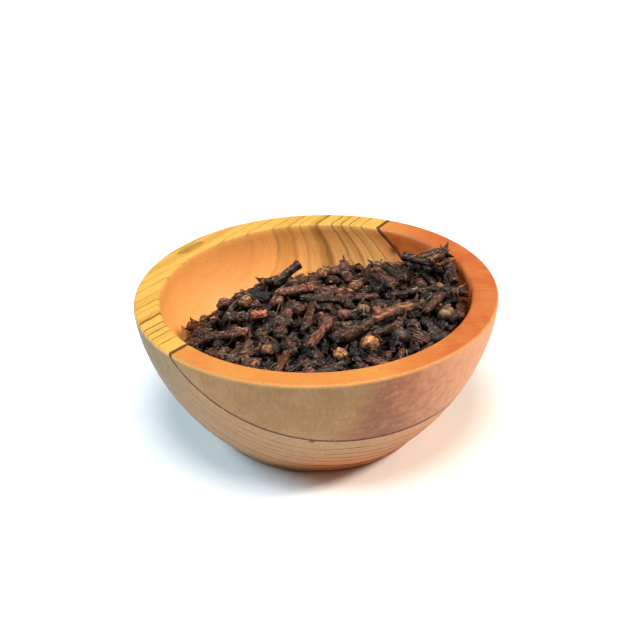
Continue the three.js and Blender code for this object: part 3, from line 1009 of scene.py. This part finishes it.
def stem_sizes(draw, short_share, length=None):
    """Length, tail radius and shoulder radius of a stem."""
    if length is None:
        length = draw.uniform(3.0, 6.0) if draw.random() < short_share else draw.uniform(8.8, 12.8)
    shoulder = draw.uniform(1.35, 1.9)
    return length, shoulder * draw.uniform(0.6, 0.9), shoulder


def make_whole(heap, draw, tone=None, length=None):
    """A clove with its bud between its lobes."""
    length, tail, shoulder = stem_sizes(draw, 0.06, length)
    base = picked(draw, heap, STEM_TINTS)
    bud_radius = draw.uniform(1.6, 2.05)
    shape = Shape()
    add_stem(shape, draw, length, tail, shoulder, base, heap.orange)
    add_head(shape, draw, heap, length, shoulder, base)
    add_bud(shape, draw, bud_radius, length - 0.7, own_tint(draw, heap, BUD_TINTS, tone))
    bend(shape, draw, length)
    top = (length + bud_radius * 1.3, bud_radius * 0.7)
    return shape, hull_of((0, tail), (length * 0.7, shoulder), (length + 1.0, 2.1), top)


def add_stamen(shape, draw, heap, height):
    """One short curled stamen at the edge of an emptied cup."""
    bearing = draw.uniform(0, 2 * math.pi)
    lean = draw.uniform(0.2, 1.6)
    reach = draw.uniform(1.0, 2.4)
    steps = np.linspace(0, 1, 6)[:, None]
    out = np.array([math.cos(bearing), math.sin(bearing), 0])
    curl = np.array([-math.sin(bearing), math.cos(bearing), 0]) * draw.uniform(-1, 1)
    rise = np.array([0, 0, 1]) * (height + 0.2 + reach * steps * (1 - 0.35 * steps * lean))
    path = out * (0.9 + lean * steps * reach * 0.4) + curl * steps**2 + rise
    add_thread(shape, path, draw.uniform(0.05, 0.09), np.array(heap.thread) * draw.uniform(0.2, 1.0))


def make_bald(heap, draw, tone=None, length=None):
    """A clove that has lost its bud: lobes round an open cup, with its style and a few stamens."""
    length, tail, shoulder = stem_sizes(draw, 0.2, length)
    base = own_tint(draw, heap, STEM_TINTS, tone)
    shape = Shape()
    add_stem(shape, draw, length, tail, shoulder, base, heap.orange)
    add_head(shape, draw, heap, length, shoulder, base)
    heights = [length - 0.3, length + 0.35, length + 0.2]
    cup = rings_of([shoulder * 0.95, shoulder * 0.8, 0.5], heights, CUP_SIDES)
    cup += draw.normal(0, 0.06, cup.shape)
    shape.add_skin(cup, picked(draw, heap, CUP_TINTS))
    style = [(0.1, 0, length), (0.15, 0.1, length + 1.0), (0.3, 0.1, length + draw.uniform(1.4, 2.2))]
    add_thread(shape, style, 0.2, base, sides=6)
    for _ in range(draw.integers(3, 8)):
        add_stamen(shape, draw, heap, length)
    bend(shape, draw, length)
    return shape, hull_of((0, tail), (length * 0.6, shoulder), (length + 1.2, 2.0))


def make_stub(heap, draw, tone=None, length=None):
    """A stem broken at both ends."""
    length = draw.uniform(4.0, 12.0) if length is None else length
    shoulder = draw.uniform(1.1, 1.8)
    tail = shoulder * draw.uniform(0.7, 0.95)
    base = own_tint(draw, heap, STEM_TINTS, tone)
    shape = Shape()
    add_stem(shape, draw, length, tail, shoulder, base, heap.orange)
    bend(shape, draw, length)
    return shape, hull_of((0, tail), (length, shoulder))


def make_bud(heap, draw, tone=None, length=None):
    """A loose bud, as wide as its length."""
    radius = draw.uniform(1.5, 2.1) if length is None else length / 2
    base = own_tint(draw, heap, BUD_TINTS, tone)
    shape = Shape()
    add_bud(shape, draw, radius, 0.0, base, stub=draw.uniform(0.2, 0.7))
    upper = (radius * 1.4, radius)
    return shape, hull_of((0, radius * 0.6), (radius * 0.5, radius), upper, (radius * 1.9, 0.5))


MAKERS = {"whole": make_whole, "bald": make_bald, "stub": make_stub, "bud": make_bud}
KIND_SHARES = {"whole": 0.3, "bald": 0.34, "stub": 0.28, "bud": 0.08}

# ---------------------------------------------------------------------------------------------------------
# The heap's relief

CELL_MM = 0.5
GRID = 180
# How the hollows between pieces are found: smoothing, least depth and spacing, mm where not cells.
LEVEL_CELLS = 9
HOLLOW_DEPTH = 1.1
HOLLOW_REACH = 6.5
HOLLOWS_AT_ONCE = 10
OUT_OF_REACH = -99.0
EDGE_MARGIN = 1.5
SLOPE_REACH = 4.0
SLOPE_CELLS = 3
SKIPPED_REACH = 1.5
TALLEST = 3.0
CANOPY_CELLS = 3


class Relief:
    """Height of what lies in the bowl, over a grid, in millimetres."""

    def __init__(self, bowl, heap):
        centre = (np.arange(GRID) - GRID / 2 + 0.5) * CELL_MM
        self.x, self.y = np.meshgrid(centre, centre, indexing="ij")
        self.target = heap_height_at(bowl, heap, self.x, self.y)
        self.height = self.target - heap.core_drop
        edge = heap_edge_radius(bowl, heap, np.arctan2(self.y, self.x))
        self.inside = np.hypot(self.x, self.y) < edge - EDGE_MARGIN

    def cell(self, x, y):
        i = np.clip(np.floor(np.asarray(x) / CELL_MM + GRID / 2).astype(int), 0, GRID - 1)
        j = np.clip(np.floor(np.asarray(y) / CELL_MM + GRID / 2).astype(int), 0, GRID - 1)
        return i, j

    def lay(self, pieces):
        """Raises the relief to the pieces' points."""
        for piece in pieces:
            points = piece.shape.placed(piece.place)
            np.maximum.at(self.height, self.cell(points[:, 0], points[:, 1]), points[:, 2])

    def at(self, x, y, reach=1):
        """The middle and the greatest height round a point."""
        i, j = self.cell(x, y)
        near = self.height[max(0, i - reach) : i + reach + 1, max(0, j - reach) : j + reach + 1]
        return float(np.median(near)), float(near.max())

    def canopy(self):
        """The greatest height near each cell, smoothed."""
        top = self.height
        for axis in (0, 1):
            shifted = [np.roll(top, step, axis) for step in range(-CANOPY_CELLS, CANOPY_CELLS + 1)]
            top = np.max(shifted, axis=0)
        for axis in (0, 1):
            top = (np.roll(top, 1, axis) + top + np.roll(top, -1, axis)) / 3
        return top

    def closed(self):
        """The relief with its single-cell gaps filled."""
        height = self.height
        for axis in (0, 1):
            height = np.maximum(height, np.minimum(np.roll(height, 1, axis), np.roll(height, -1, axis)))
        return height

    def hollows(self, count):
        """The lowest places against the heap's mean top, the deepest first."""
        kernel = np.ones(LEVEL_CELLS) / LEVEL_CELLS
        level = np.apply_along_axis(np.convolve, 0, self.closed(), kernel, "same")
        level = np.apply_along_axis(np.convolve, 1, level, kernel, "same")
        lack = np.where(self.inside, self.target - level, OUT_OF_REACH)
        spots = []
        while len(spots) < count and lack.max() > HOLLOW_DEPTH:
            i, j = np.unravel_index(lack.argmax(), lack.shape)
            x, y = self.x[i, j], self.y[i, j]
            spots.append((x, y))
            lack[np.hypot(self.x - x, self.y - y) < HOLLOW_REACH] = OUT_OF_REACH
        return spots

    def slope(self, x, y, heading):
        """How the relief rises along a heading, as an angle."""
        across, back = SLOPE_REACH * math.cos(heading), SLOPE_REACH * math.sin(heading)
        ahead, _ = self.at(x + across, y + back, SLOPE_CELLS)
        behind, _ = self.at(x - across, y - back, SLOPE_CELLS)
        return math.atan2(ahead - behind, 2 * SLOPE_REACH)

    def too_high(self, piece):
        """Whether a piece stands far above the heap, or has left it."""
        points = piece.shape.placed(piece.place)
        i, j = self.cell(*points.mean(0)[:2])
        tip = points[points[:, 2].argmax()]
        over = self.target[self.cell(tip[0], tip[1])] + TALLEST
        return not self.inside[i, j] or tip[2] > over or self.height[i, j] > self.target[i, j] + TALLEST


# ---------------------------------------------------------------------------------------------------------
# Settling

# The simulation's own unit, mm, as it is steadier with pieces about one unit long.
UNIT_MM = 10.0
FIRST_FRAMES = 80
STEPS_A_FRAME = 10
SOLVER_STEPS = 18
BODY_FEEL = {
    "friction": 0.95,
    "restitution": 0.0,
    "use_margin": True,
    "collision_margin": 0.008,
    "linear_damping": 0.3,
    "angular_damping": 0.6,
}
GROUND_SIDES = 64
GROUND_ROWS = 14
WALL_ROWS = 8
# The deepest that the ground lies below the rim, and how high the fence over the rim is, mm.
DEEPEST = 31.0
FENCE = 60.0
# Where the falling pieces start: rows and columns each way, spacing, margin and heights, mm.
START_ROWS = range(-7, 8)
START_SPACING = 8.0
START_STRETCH = 1.15
START_SHIFT = 3
START_MARGIN = 6.5
START_HEIGHT = 4
LAYER_RISE = 5.0


def ground_mesh(bowl, heap):
    """The core's top, the bowl's wall above it, and a fence above the rim, as one sheet."""
    bearings = bearings_of(GROUND_SIDES)
    core_edge = np.minimum(edge_depth(heap, bearings) + heap.core_drop, DEEPEST)
    rows = []
    for share in np.linspace(0, 1, GROUND_ROWS)[1:]:
        top = heap_height(bowl, heap, share, bearings) - heap.core_drop
        radii = share * hollow_radius(bowl, core_edge, CORE_GAP)
        rows.append((radii, np.maximum(top, bowl.height - DEEPEST)))
    for share in np.linspace(1, 0, WALL_ROWS)[1:]:
        depth = core_edge * share
        rows.append((hollow_radius(bowl, depth, CORE_GAP), bowl.height - depth))
    mouth = hollow_radius(bowl, 0.0, CORE_GAP)
    rows.append((np.full(GROUND_SIDES, mouth), np.full(GROUND_SIDES, bowl.height + FENCE)))
    points = [(0.0, 0.0, heap_height_at(bowl, heap, 0, 0) - heap.core_drop)]
    for radii, heights in rows:
        points += list(zip(radii * np.cos(bearings), radii * np.sin(bearings), heights))
    faces = [(0, 1 + side, 1 + (side + 1) % GROUND_SIDES) for side in range(GROUND_SIDES)]
    for row in range(len(rows) - 1):
        low, high = 1 + row * GROUND_SIDES, 1 + (row + 1) * GROUND_SIDES
        for side in range(GROUND_SIDES):
            after = (side + 1) % GROUND_SIDES
            faces.append((low + side, high + side, high + after, low + after))
    return np.array(points), faces


class Settler:
    """Drops stand-ins of the pieces into the bowl and lets them come to rest."""

    def __init__(self, bowl, heap):
        self.scene = bpy.context.scene
        self.made = []
        self.collection = bpy.data.collections.new("settling")
        self.scene.collection.children.link(self.collection)
        bpy.ops.rigidbody.world_add()
        self.world = self.scene.rigidbody_world
        self.world.collection = self.collection
        self.world.substeps_per_frame = STEPS_A_FRAME
        self.world.solver_iterations = SOLVER_STEPS
        points, faces = ground_mesh(bowl, heap)
        self.add("ground", points / UNIT_MM, faces, "PASSIVE", "MESH", Matrix.Identity(4))

    def add(self, name, points, faces, kind, shape, place):
        mesh = bpy.data.meshes.new(name)
        mesh.from_pydata(points.tolist(), [], faces)
        item = bpy.data.objects.new(name, mesh)
        self.collection.objects.link(item)
        item.matrix_world = place
        for other in bpy.context.selected_objects:
            other.select_set(False)
        item.select_set(True)
        bpy.context.view_layer.objects.active = item
        bpy.ops.rigidbody.object_add(type=kind)
        item.rigid_body.collision_shape = shape
        for setting, value in BODY_FEEL.items():
            setattr(item.rigid_body, setting, value)
        self.made.append(item)
        return item

    def put(self, pieces):
        """Adds stand-ins of the pieces at their places."""
        items = []
        for number, piece in enumerate(pieces):
            place = piece.place.copy()
            place.translation = place.translation / UNIT_MM
            points = piece.hull / UNIT_MM
            faces = [(k, k + 1, k + 2) for k in range(0, len(points) - 2, 3)]
            items.append(self.add(f"falling_{number}", points, faces, "ACTIVE", "CONVEX_HULL", place))
        return items

    def run(self, frames):
        self.world.point_cache.frame_start = 1
        self.world.point_cache.frame_end = frames
        for number in range(1, frames + 1):
            self.scene.frame_set(number)

    def clear(self):
        for item in self.made:
            mesh = item.data
            bpy.data.objects.remove(item)
            bpy.data.meshes.remove(mesh)
        bpy.ops.rigidbody.world_remove()
        bpy.data.collections.remove(self.collection)
        self.scene.frame_set(1)


def settle(bowl, heap, falling, frames):
    """Lets pieces fall into the bowl, and takes their places once they lie still."""
    settler = Settler(bowl, heap)
    items = settler.put(falling)
    settler.run(frames)
    for item, piece in zip(items, falling):
        place = item.matrix_world.copy()
        place.translation = place.translation * UNIT_MM
        piece.place = place
    settler.clear()


def direction(heading, pitch):
    """One step along a heading, at a pitch above level."""
    level = math.cos(pitch)
    return Vector((math.cos(heading) * level, math.sin(heading) * level, math.sin(pitch)))


def lying(x, y, z, heading, pitch, roll):
    """A place for a piece that lies along a heading, its middle at a point."""
    turn = Vector((0, 0, 1)).rotation_difference(direction(heading, pitch)).to_matrix().to_4x4()
    return Matrix.Translation((x, y, z)) @ turn @ Matrix.Rotation(roll, 4, "Z")


def centred(shape, hull):
    """Moves a shape and its stand-in so that their middle is at the origin."""
    middle = (hull.min(0) + hull.max(0)) / 2
    for points in shape.points:
        points -= middle
    return shape, hull - middle


def start_places(bowl, heap, count, draw):
    """Places over the heap, layer on layer, on a turned grid of staggered rows."""
    places = []
    layer = 0
    while len(places) < count:
        turn = draw.uniform(0, math.pi)
        shift = draw.uniform(-START_SHIFT, START_SHIFT, 2)
        spots = []
        for row in START_ROWS:
            for column in START_ROWS:
                x = (column + 0.5 * (row % 2)) * START_SPACING * START_STRETCH + shift[0]
                y = row * START_SPACING + shift[1]
                a = x * math.cos(turn) - y * math.sin(turn)
                b = x * math.sin(turn) + y * math.cos(turn)
                if math.hypot(a, b) < heap_edge_radius(bowl, heap, math.atan2(b, a)) - START_MARGIN:
                    spots.append((a, b))
        draw.shuffle(spots)
        for a, b in spots:
            ground = heap_height_at(bowl, heap, a, b) - heap.core_drop
            places.append((a, b, ground + START_HEIGHT + layer * LAYER_RISE))
        layer += 1
    return places[:count]


def make_piece(kind, heap, draw, x, y, z):
    """A piece of a kind, centred on a point and lying in a random direction."""
    shape, hull = centred(*MAKERS[kind](heap, draw))
    heading = draw.uniform(0, 2 * math.pi)
    pitch = draw.uniform(-0.3, 0.3)
    roll = draw.uniform(0, 2 * math.pi)
    return Piece(kind, shape, hull, lying(x, y, z, heading, pitch, roll))


HEADINGS_TRIED = 14
REST_ROUNDS = 3
WALL_GAP = 0.3
SUNK_PERCENT = 7


def rest(bowl, relief, piece):
    """Puts a piece down on the relief and clear of the wall. Returns how loosely it lies."""
    for _ in range(REST_ROUNDS):
        points = piece.shape.placed(piece.place)
        gap = points[:, 2] - relief.height[relief.cell(points[:, 0], points[:, 1])]
        drop = float(np.percentile(gap, SUNK_PERCENT))
        reach = np.hypot(points[:, 0], points[:, 1])
        wall = hollow_radius(bowl, bowl.height - points[:, 2] + drop, WALL_GAP)
        push = max(0.0, float((reach - wall).max()))
        inward = piece.place.translation.to_2d().normalized() * -push
        piece.place = Matrix.Translation((*inward, -drop)) @ piece.place
    return float(np.mean(gap)) - drop


def lay_down(bowl, relief, draw, piece, x, y, headings, pitch=None):
    """Lays a piece at the one of some headings where it lies closest on what is below it."""
    best = None
    for heading in headings:
        lean = relief.slope(x, y, heading) + draw.uniform(-0.15, 0.15) if pitch is None else pitch
        piece.place = lying(x, y, bowl.height, heading, lean, draw.uniform(0, 2 * math.pi))
        loose = rest(bowl, relief, piece)
        if best is None or loose < best[0]:
            best = (loose, piece.place)
    piece.place = best[1]


# Pieces laid on top, in this order: kind, place across and back in mm, heading and pitch in degrees,
# length in mm or 0 for any, and a colour's name or None.
TOP_PIECES = (
    ("stub", 32.0, 19.0, 20, 8, 8.0, None),
    ("bald", 38.0, 8.0, 95, 6, 9.0, "black_brown"),
    ("stub", 29.0, 14.0, 160, 10, 9.0, "black_brown"),
    ("bald", 35.0, 14.0, 35, 12, 6.0, "fawn"),
    ("stub", -2.0, -10.5, 82, 2, 12.5, "grey_brown"),
    ("stub", 1.8, -0.9, -5, -4, 12.0, "black_brown"),
    ("bald", 19.4, 9.2, -59, 4, 12.5, "plum"),
    ("stub", 22.5, 13.5, -66, 6, 13.0, "black_brown"),
    ("bald", 7.4, 27.0, 40, 5, 6.0, "red_brown"),
    ("stub", 10.3, -21.0, 44, 0, 11.0, "grey_brown"),
    ("bald", 19.5, -21.0, 35, 1, 10.0, "black_brown"),
    ("whole", 28.1, 1.5, 8, 3, 13.0, "golden"),
    ("bald", 21.5, -12.0, 27, 2, 13.5, "fawn"),
    ("bald", 32.0, -8.5, 60, 2, 11.5, "grey_brown"),
    ("bald", 38.5, -2.0, 10, 4, 5.0, "red_brown"),
    ("bald", -25.0, -13.0, 161, -14, 11.0, "plum"),
    ("bald", -12.0, 9.0, 210, 4, 7.0, "black_brown"),
    ("stub", -6.6, 3.0, 20, -3, 7.5, "red_brown"),
    ("stub", -8.0, 9.0, 35, 22, 9.5, "black_brown"),
    ("bald", 0.6, -21.5, 66, 2, 12.5, "red_brown"),
    ("whole", -19.4, 2.7, 262, 50, 3.5, "golden"),
    ("bud", -25.5, 4.0, 0, 40, 3.8, "red_brown"),
    ("bud", 13.5, -29.5, 20, 50, 5.2, "tan"),
    ("whole", 6.0, -31.0, 262, 55, 2.5, "tan"),
    ("whole", -13.0, -25.5, 262, 62, 3.0, "golden"),
    ("bud", 21.8, -25.5, 60, 40, 4.7, "grey"),
    ("bud", 34.5, -15.5, 150, 20, 4.8, "drab"),
    ("bud", 12.6, -8.8, 100, 50, 3.9, "drab"),
    ("stub", -15.6, -8.1, 5, 0, 4.2, "orange"),
    ("stub", -1.7, 5.3, 100, 20, 2.6, "orange"),
    ("stub", 16.6, -8.0, 140, 10, 2.6, "orange"),
    ("stub", 2.2, 18.0, 60, 30, 2.6, "tan"),
)
# A clove that is steeper than this, in degrees, has its stem down between the others.
STANDING = 45


def top_piece(bowl, heap, draw, relief, kind, x, y, heading, pitch, length, tone):
    """One of the pieces that are laid on top."""
    base = getattr(heap, tone) if tone else None
    shape, hull = centred(*MAKERS[kind](heap, draw, base, length or None))
    piece = Piece(kind, shape, hull, None)
    lay_down(bowl, relief, draw, piece, x, y, [math.radians(heading)], math.radians(pitch))
    if kind == "whole" and pitch > STANDING:
        piece.place.translation.z -= length * math.sin(math.radians(pitch))
    relief.lay([piece])
    return piece


def make_cloves(bowl, heap):
    """All the cloves, buds and broken stems, settled in the bowl, and the relief that they make."""
    draw = np.random.default_rng(heap.seed)
    names, shares = zip(*KIND_SHARES.items())
    pieces = []
    for x, y, z in start_places(bowl, heap, heap.first_pieces, draw):
        pieces.append(make_piece(draw.choice(names, p=shares), heap, draw, x, y, z))
    settle(bowl, heap, pieces, FIRST_FRAMES)
    relief = Relief(bowl, heap)
    pieces = [piece for piece in pieces if not relief.too_high(piece)]
    relief.lay(pieces)
    spots = relief.hollows(HOLLOWS_AT_ONCE)
    while spots and len(pieces) < heap.first_pieces + heap.more_pieces:
        for x, y in spots:
            piece = make_piece(draw.choice(names, p=shares), heap, draw, x, y, 0)
            headings = draw.uniform(0, 2 * math.pi, HEADINGS_TRIED)
            lay_down(bowl, relief, draw, piece, x, y, headings)
            if relief.too_high(piece):
                relief.inside[np.hypot(relief.x - x, relief.y - y) < SKIPPED_REACH] = False
            else:
                relief.lay([piece])
                pieces.append(piece)
        spots = relief.hollows(HOLLOWS_AT_ONCE)
    pieces += [top_piece(bowl, heap, draw, relief, *row) for row in TOP_PIECES]
    return pieces, relief


# ---------------------------------------------------------------------------------------------------------
# Crumbs and threads, laid over what has settled

CRUMB_ROWS = 4
CRUMB_SIDES = 6
CRUMB_MARGIN = 1.5
# A crumb's radius runs from the first of these to their sum, and most are small, mm.
CRUMB_RADIUS = 0.16
CRUMB_SPREAD = 0.45
# How many of the crumbs are bits of stem. The others are chips.
STEM_CRUMBS = 0.8
THREAD_STEPS = 7
THREAD_MARGIN = 2.0
THREAD_LIFT = 0.12


def random_spot(bowl, heap, draw, margin):
    """A point inside the heap's edge, evenly spread."""
    while True:
        bearing = draw.uniform(0, 2 * math.pi)
        radius = (bowl.rim_radius * bowl.mouth_share) * math.sqrt(draw.uniform(0, 1))
        if radius < heap_edge_radius(bowl, heap, bearing) - margin:
            return radius * math.cos(bearing), radius * math.sin(bearing)


def make_crumbs(bowl, heap, relief):
    draw = np.random.default_rng(heap.seed + 1)
    pieces = []
    for _ in range(heap.crumbs):
        x, y = random_spot(bowl, heap, draw, CRUMB_MARGIN)
        middle, _ = relief.at(x, y)
        radius = CRUMB_RADIUS + CRUMB_SPREAD * draw.random() ** 2
        rows = np.linspace(-1, 1, CRUMB_ROWS)
        heights = rows * radius * draw.uniform(0.8, 2.2)
        radii = radius * np.sqrt(1.1 - rows**2)
        rings = rings_of(radii, heights, CRUMB_SIDES, square=2.6, flat=draw.uniform(0.35, 0.8))
        rings += draw.normal(0, 0.2 * radius, rings.shape)
        shares = STEM_TINTS if draw.random() < STEM_CRUMBS else CHIP_TINTS
        tone = picked(draw, heap, shares)
        shape = Shape().add_skin(rings, tone * draw.uniform(0.7, 1.5))
        heading = draw.uniform(0, ANY_PHASE)
        place = lying(x, y, middle + 0.3 * radius, heading, draw.uniform(-0.6, 0.6), 0.0)
        pieces.append(Piece("crumb", shape, None, place))
    return pieces


def make_threads(bowl, heap, relief):
    draw = np.random.default_rng(heap.seed + 2)
    pieces = []
    for _ in range(heap.threads):
        x, y = random_spot(bowl, heap, draw, THREAD_MARGIN)
        heading = draw.uniform(0, 2 * math.pi)
        curl = draw.uniform(-0.75, 0.75)
        length = draw.uniform(1.4, 4.5)
        points = []
        for _ in range(THREAD_STEPS + 1):
            _, top = relief.at(x, y)
            points.append((x, y, top + THREAD_LIFT))
            x += length / THREAD_STEPS * math.cos(heading)
            y += length / THREAD_STEPS * math.sin(heading)
            heading += curl + draw.uniform(-0.25, 0.25)
        points = np.array(points)
        for _ in range(2):
            points[1:-1, 2] = np.maximum(points[1:-1, 2], (points[:-2, 2] + points[2:, 2]) / 2)
        shape = Shape()
        radius = draw.uniform(0.04, 0.075)
        add_thread(shape, points, radius, np.array(heap.thread) * draw.uniform(0.4, 1.1))
        pieces.append(Piece("thread", shape, None, Matrix.Identity(4)))
    return pieces


# ---------------------------------------------------------------------------------------------------------
# Clove materials

SKIN_RELIEF_MM = 0.45
CORE_RELIEF_MM = 0.8
CORE_DARK = colour(0x0B0706)
CORE_PALE = colour(0x1E1410)
# How strongly the tint varies along the skin of cloves, and of crumbs and threads.
SKIN_STREAKS = 1.9
BIT_STREAKS = 0.6


def paint_cloves(name, dust_and_glint, streaks):
    """Dry clove skin: each piece's own tint, broken by streaks along it and by pale specks that are partly
    real dust and partly painted glints.
    """
    paint = Paint(name, IOR=1.45, Specular_IOR_Level=0.45)
    own = paint.attribute("tint", "Color")
    grain = paint.attribute("grain", "Vector")
    fine = paint.noise(grain, 1.4, 4.0, 0.7)
    broad = paint.noise(grain, 0.6, 2.0)
    specks = paint.noise(paint.point(), 1.7, 3.0, 0.7)
    blotch = paint.noise(paint.point(), 0.8, 3.0, 0.6).ramp_up(0.46, 0.62)
    level = ((fine.ramp_up(0.3, 0.7) - 0.5) * streaks + 1) * (1 - blotch * 0.45)
    shade = paint.mix(1.0, own, paint.triple(level, level, level), "MULTIPLY")
    # Pale specks: partly real dust, partly painted glints.
    dust_and_glint_share = specks.ramp_up(0.58, 0.64) * 0.5 + broad.ramp_up(0.5, 0.8) * 0.05
    relief = fine * 0.9 + broad * 0.5 + specks * 0.6
    shade = paint.mix(dust_and_glint_share, shade, dust_and_glint)
    rough = 0.27 + 0.2 * fine + dust_and_glint_share * 0.4
    paint.surface(Base_Color=shade, Roughness=rough, Normal=paint.bump(relief, SKIN_RELIEF_MM))
    return paint.material


def paint_core():
    """What shows between the cloves: almost black, painted shade standing in for the cloves deep in the
    heap.
    """
    paint = Paint("clove_shade", Roughness=0.9)
    rough = paint.noise(paint.point(), 0.6, 4.0)
    base = paint.mix(rough, CORE_DARK, CORE_PALE)
    paint.surface(Base_Color=base, Normal=paint.bump(rough, CORE_RELIEF_MM))
    return paint.material


# ---------------------------------------------------------------------------------------------------------
# Operators


def finish_piece(piece):
    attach(piece, BODY)


class CLOVEBOWL_OT_bowl(Operator):
    """Turn the bowl from its two boards"""

    bl_idname = "clovebowl.bowl"
    bl_label = "Bowl"

    def execute(self, context):
        bowl, _, _ = settings()
        profile = bowl_profile(bowl)
        rings = bowl_relief(lathe(profile, BOWL_SIDES))
        shape = Shape().add_skin(rings)
        piece = make_object("turned_bowl", shape.all_points(), shape.faces, BowlWood(bowl).finished())
        sides = np.repeat(profile[1:-1, 2:], BOWL_SIDES, axis=0)
        sides = np.vstack([sides, profile[[0, -1], 2:]])
        for column, name in enumerate(("outside", "inside")):
            layer = piece.data.attributes.new(name, "FLOAT", "POINT")
            layer.data.foreach_set("value", sides[:, column].astype(np.float32))
        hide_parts("bowl")
        finish_piece(piece)
        return {"FINISHED"}


class CLOVEBOWL_OT_core(Operator):
    """Fill the bowl below the cloves that show"""

    bl_idname = "clovebowl.core"
    bl_label = "Core"

    def execute(self, context):
        bowl, heap, _ = settings()
        shape = Shape().add_skin(core_rings(bowl, heap))
        piece = make_object("clove_core", shape.all_points(), shape.faces, paint_core())
        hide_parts("cloves")
        finish_piece(piece)
        return {"FINISHED"}


class CLOVEBOWL_OT_cloves(Operator):
    """Drop the cloves into the bowl, and strew crumbs and threads over them"""

    bl_idname = "clovebowl.cloves"
    bl_label = "Cloves"

    def execute(self, context):
        bowl, heap, _ = settings()
        pieces, relief = make_cloves(bowl, heap)
        pieces += make_crumbs(bowl, heap, relief)
        pieces += make_threads(bowl, heap, relief)
        skin = paint_cloves("clove_skin", heap.dust_and_glint, SKIN_STREAKS)
        dry = paint_cloves("clove_bits", heap.dust_and_glint, BIT_STREAKS)
        groups = (
            ("whole_cloves", "whole", skin),
            ("bald_cloves", "bald", skin),
            ("broken_stems", "stub", skin),
            ("loose_buds", "bud", skin),
            ("clove_crumbs", "crumb", dry),
            ("clove_threads", "thread", dry),
        )
        for name, kind, material in groups:
            alike = [item for item in pieces if item.kind == kind]
            piece = join_pieces(name, alike, material, kind != "crumb", relief)
            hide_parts("cloves")
            finish_piece(piece)
        return {"FINISHED"}


# Lights: name, the setting with its power, colour, width in metres, bearing and rise in degrees.
LIGHTS = (
    ("soft_box", "box_power", (1.0, 0.98, 0.96), 1.1, -95, 76),
    ("key", "key_power", (1.0, 0.88, 0.74), 0.5, 0, 38),
    ("fill", "fill_power", (0.6, 0.84, 1.0), 1.2, 180, 42),
)
LIGHT_DISTANCE = 2.5
SKY_TINT = (0.88, 0.95, 1.0, 1)
FLOOR_TINT = (0.93, 0.93, 0.93, 1)
FLOOR_REACH = 3.0
# What the camera looks at, and the nearest that it sees, m.
AIM = Vector((-0.0004, -0.00305, 0.03425))
NEAREST = 0.01


class CLOVEBOWL_OT_studio(Operator):
    """Set up the floor, the lights and the camera"""

    bl_idname = "clovebowl.studio"
    bl_label = "Studio"

    def execute(self, context):
        bowl, _, studio = settings()
        self.add_floor()
        self.add_lights(studio)
        self.add_camera(bowl, studio)
        context.scene.view_settings.view_transform = "Standard"
        return {"FINISHED"}

    def add_floor(self):
        mesh = bpy.data.meshes.new("floor")
        corners = [(x * FLOOR_REACH, y * FLOOR_REACH, 0) for x, y in ((-1, -1), (1, -1), (1, 1), (-1, 1))]
        mesh.from_pydata(corners, [], [(0, 1, 2, 3)])
        floor = bpy.data.objects.new("floor", mesh)
        paint = Paint("floor", Base_Color=FLOOR_TINT, Roughness=0.5)
        mesh.materials.append(paint.material)
        bpy.context.scene.collection.objects.link(floor)

    def add_lights(self, studio):
        world = bpy.data.worlds.new("studio")
        world.use_nodes = True
        sky = world.node_tree.nodes["Background"]
        sky.inputs["Color"].default_value = SKY_TINT
        sky.inputs["Strength"].default_value = studio.sky_strength
        bpy.context.scene.world = world
        for name, power, tone, width, bearing, rise in LIGHTS:
            away = direction(math.radians(bearing), math.radians(rise))
            self.add_light(name, getattr(studio, power), tone, width, away)

    def add_light(self, name, power, tone, width, away):
        """A round light that faces the bowl from a direction."""
        light = bpy.data.lights.new(name, "AREA")
        light.shape = "DISK"
        light.size = width
        light.energy = power
        light.color = tone
        lamp = bpy.data.objects.new(name, light)
        lamp.location = away * LIGHT_DISTANCE
        lamp.rotation_euler = away.to_track_quat("Z", "Y").to_euler()
        bpy.context.scene.collection.objects.link(lamp)

    def add_camera(self, bowl, studio):
        data = bpy.data.cameras.new("camera")
        data.sensor_fit = "HORIZONTAL"
        data.angle = studio.view_angle
        data.clip_start = NEAREST
        camera = bpy.data.objects.new("camera", data)
        rise = studio.camera_elevation
        rim = Vector((0, 0, bowl.height * MM))
        camera.location = rim + studio.camera_distance * Vector((0, -math.cos(rise), math.sin(rise)))
        turn = (camera.location - AIM).to_track_quat("Z", "Y").to_matrix().to_4x4()
        roll = Matrix.Rotation(-studio.camera_roll, 4, "Z")
        camera.matrix_world = Matrix.Translation(camera.location) @ turn @ roll
        bpy.context.scene.collection.objects.link(camera)
        bpy.context.scene.camera = camera


class CLOVEBOWL_PT_panel(Panel):
    """The operators, in the order that they run"""

    bl_label = "Clove Bowl"
    bl_idname = "CLOVEBOWL_PT_panel"
    bl_space_type = "VIEW_3D"
    bl_region_type = "UI"
    bl_category = "Clove Bowl"

    def draw(self, context):
        for operator in OPERATORS:
            self.layout.operator(operator.bl_idname)


OPERATORS = (CLOVEBOWL_OT_bowl, CLOVEBOWL_OT_core, CLOVEBOWL_OT_cloves, CLOVEBOWL_OT_studio)
CLASSES = (*SETTINGS.values(), *OPERATORS, CLOVEBOWL_PT_panel)


def register():
    for item in CLASSES:
        bpy.utils.register_class(item)
    for name, group in SETTINGS.items():
        setattr(bpy.types.Scene, name, PointerProperty(type=group))


def unregister():
    for name in SETTINGS:
        delattr(bpy.types.Scene, name)
    for item in reversed(CLASSES):
        bpy.utils.unregister_class(item)


def main():
    register()
    bpy.ops.clovebowl.bowl()
    bpy.ops.clovebowl.core()
    bpy.ops.clovebowl.cloves()
    bpy.ops.clovebowl.studio()


if __name__ == "__main__":
    main()
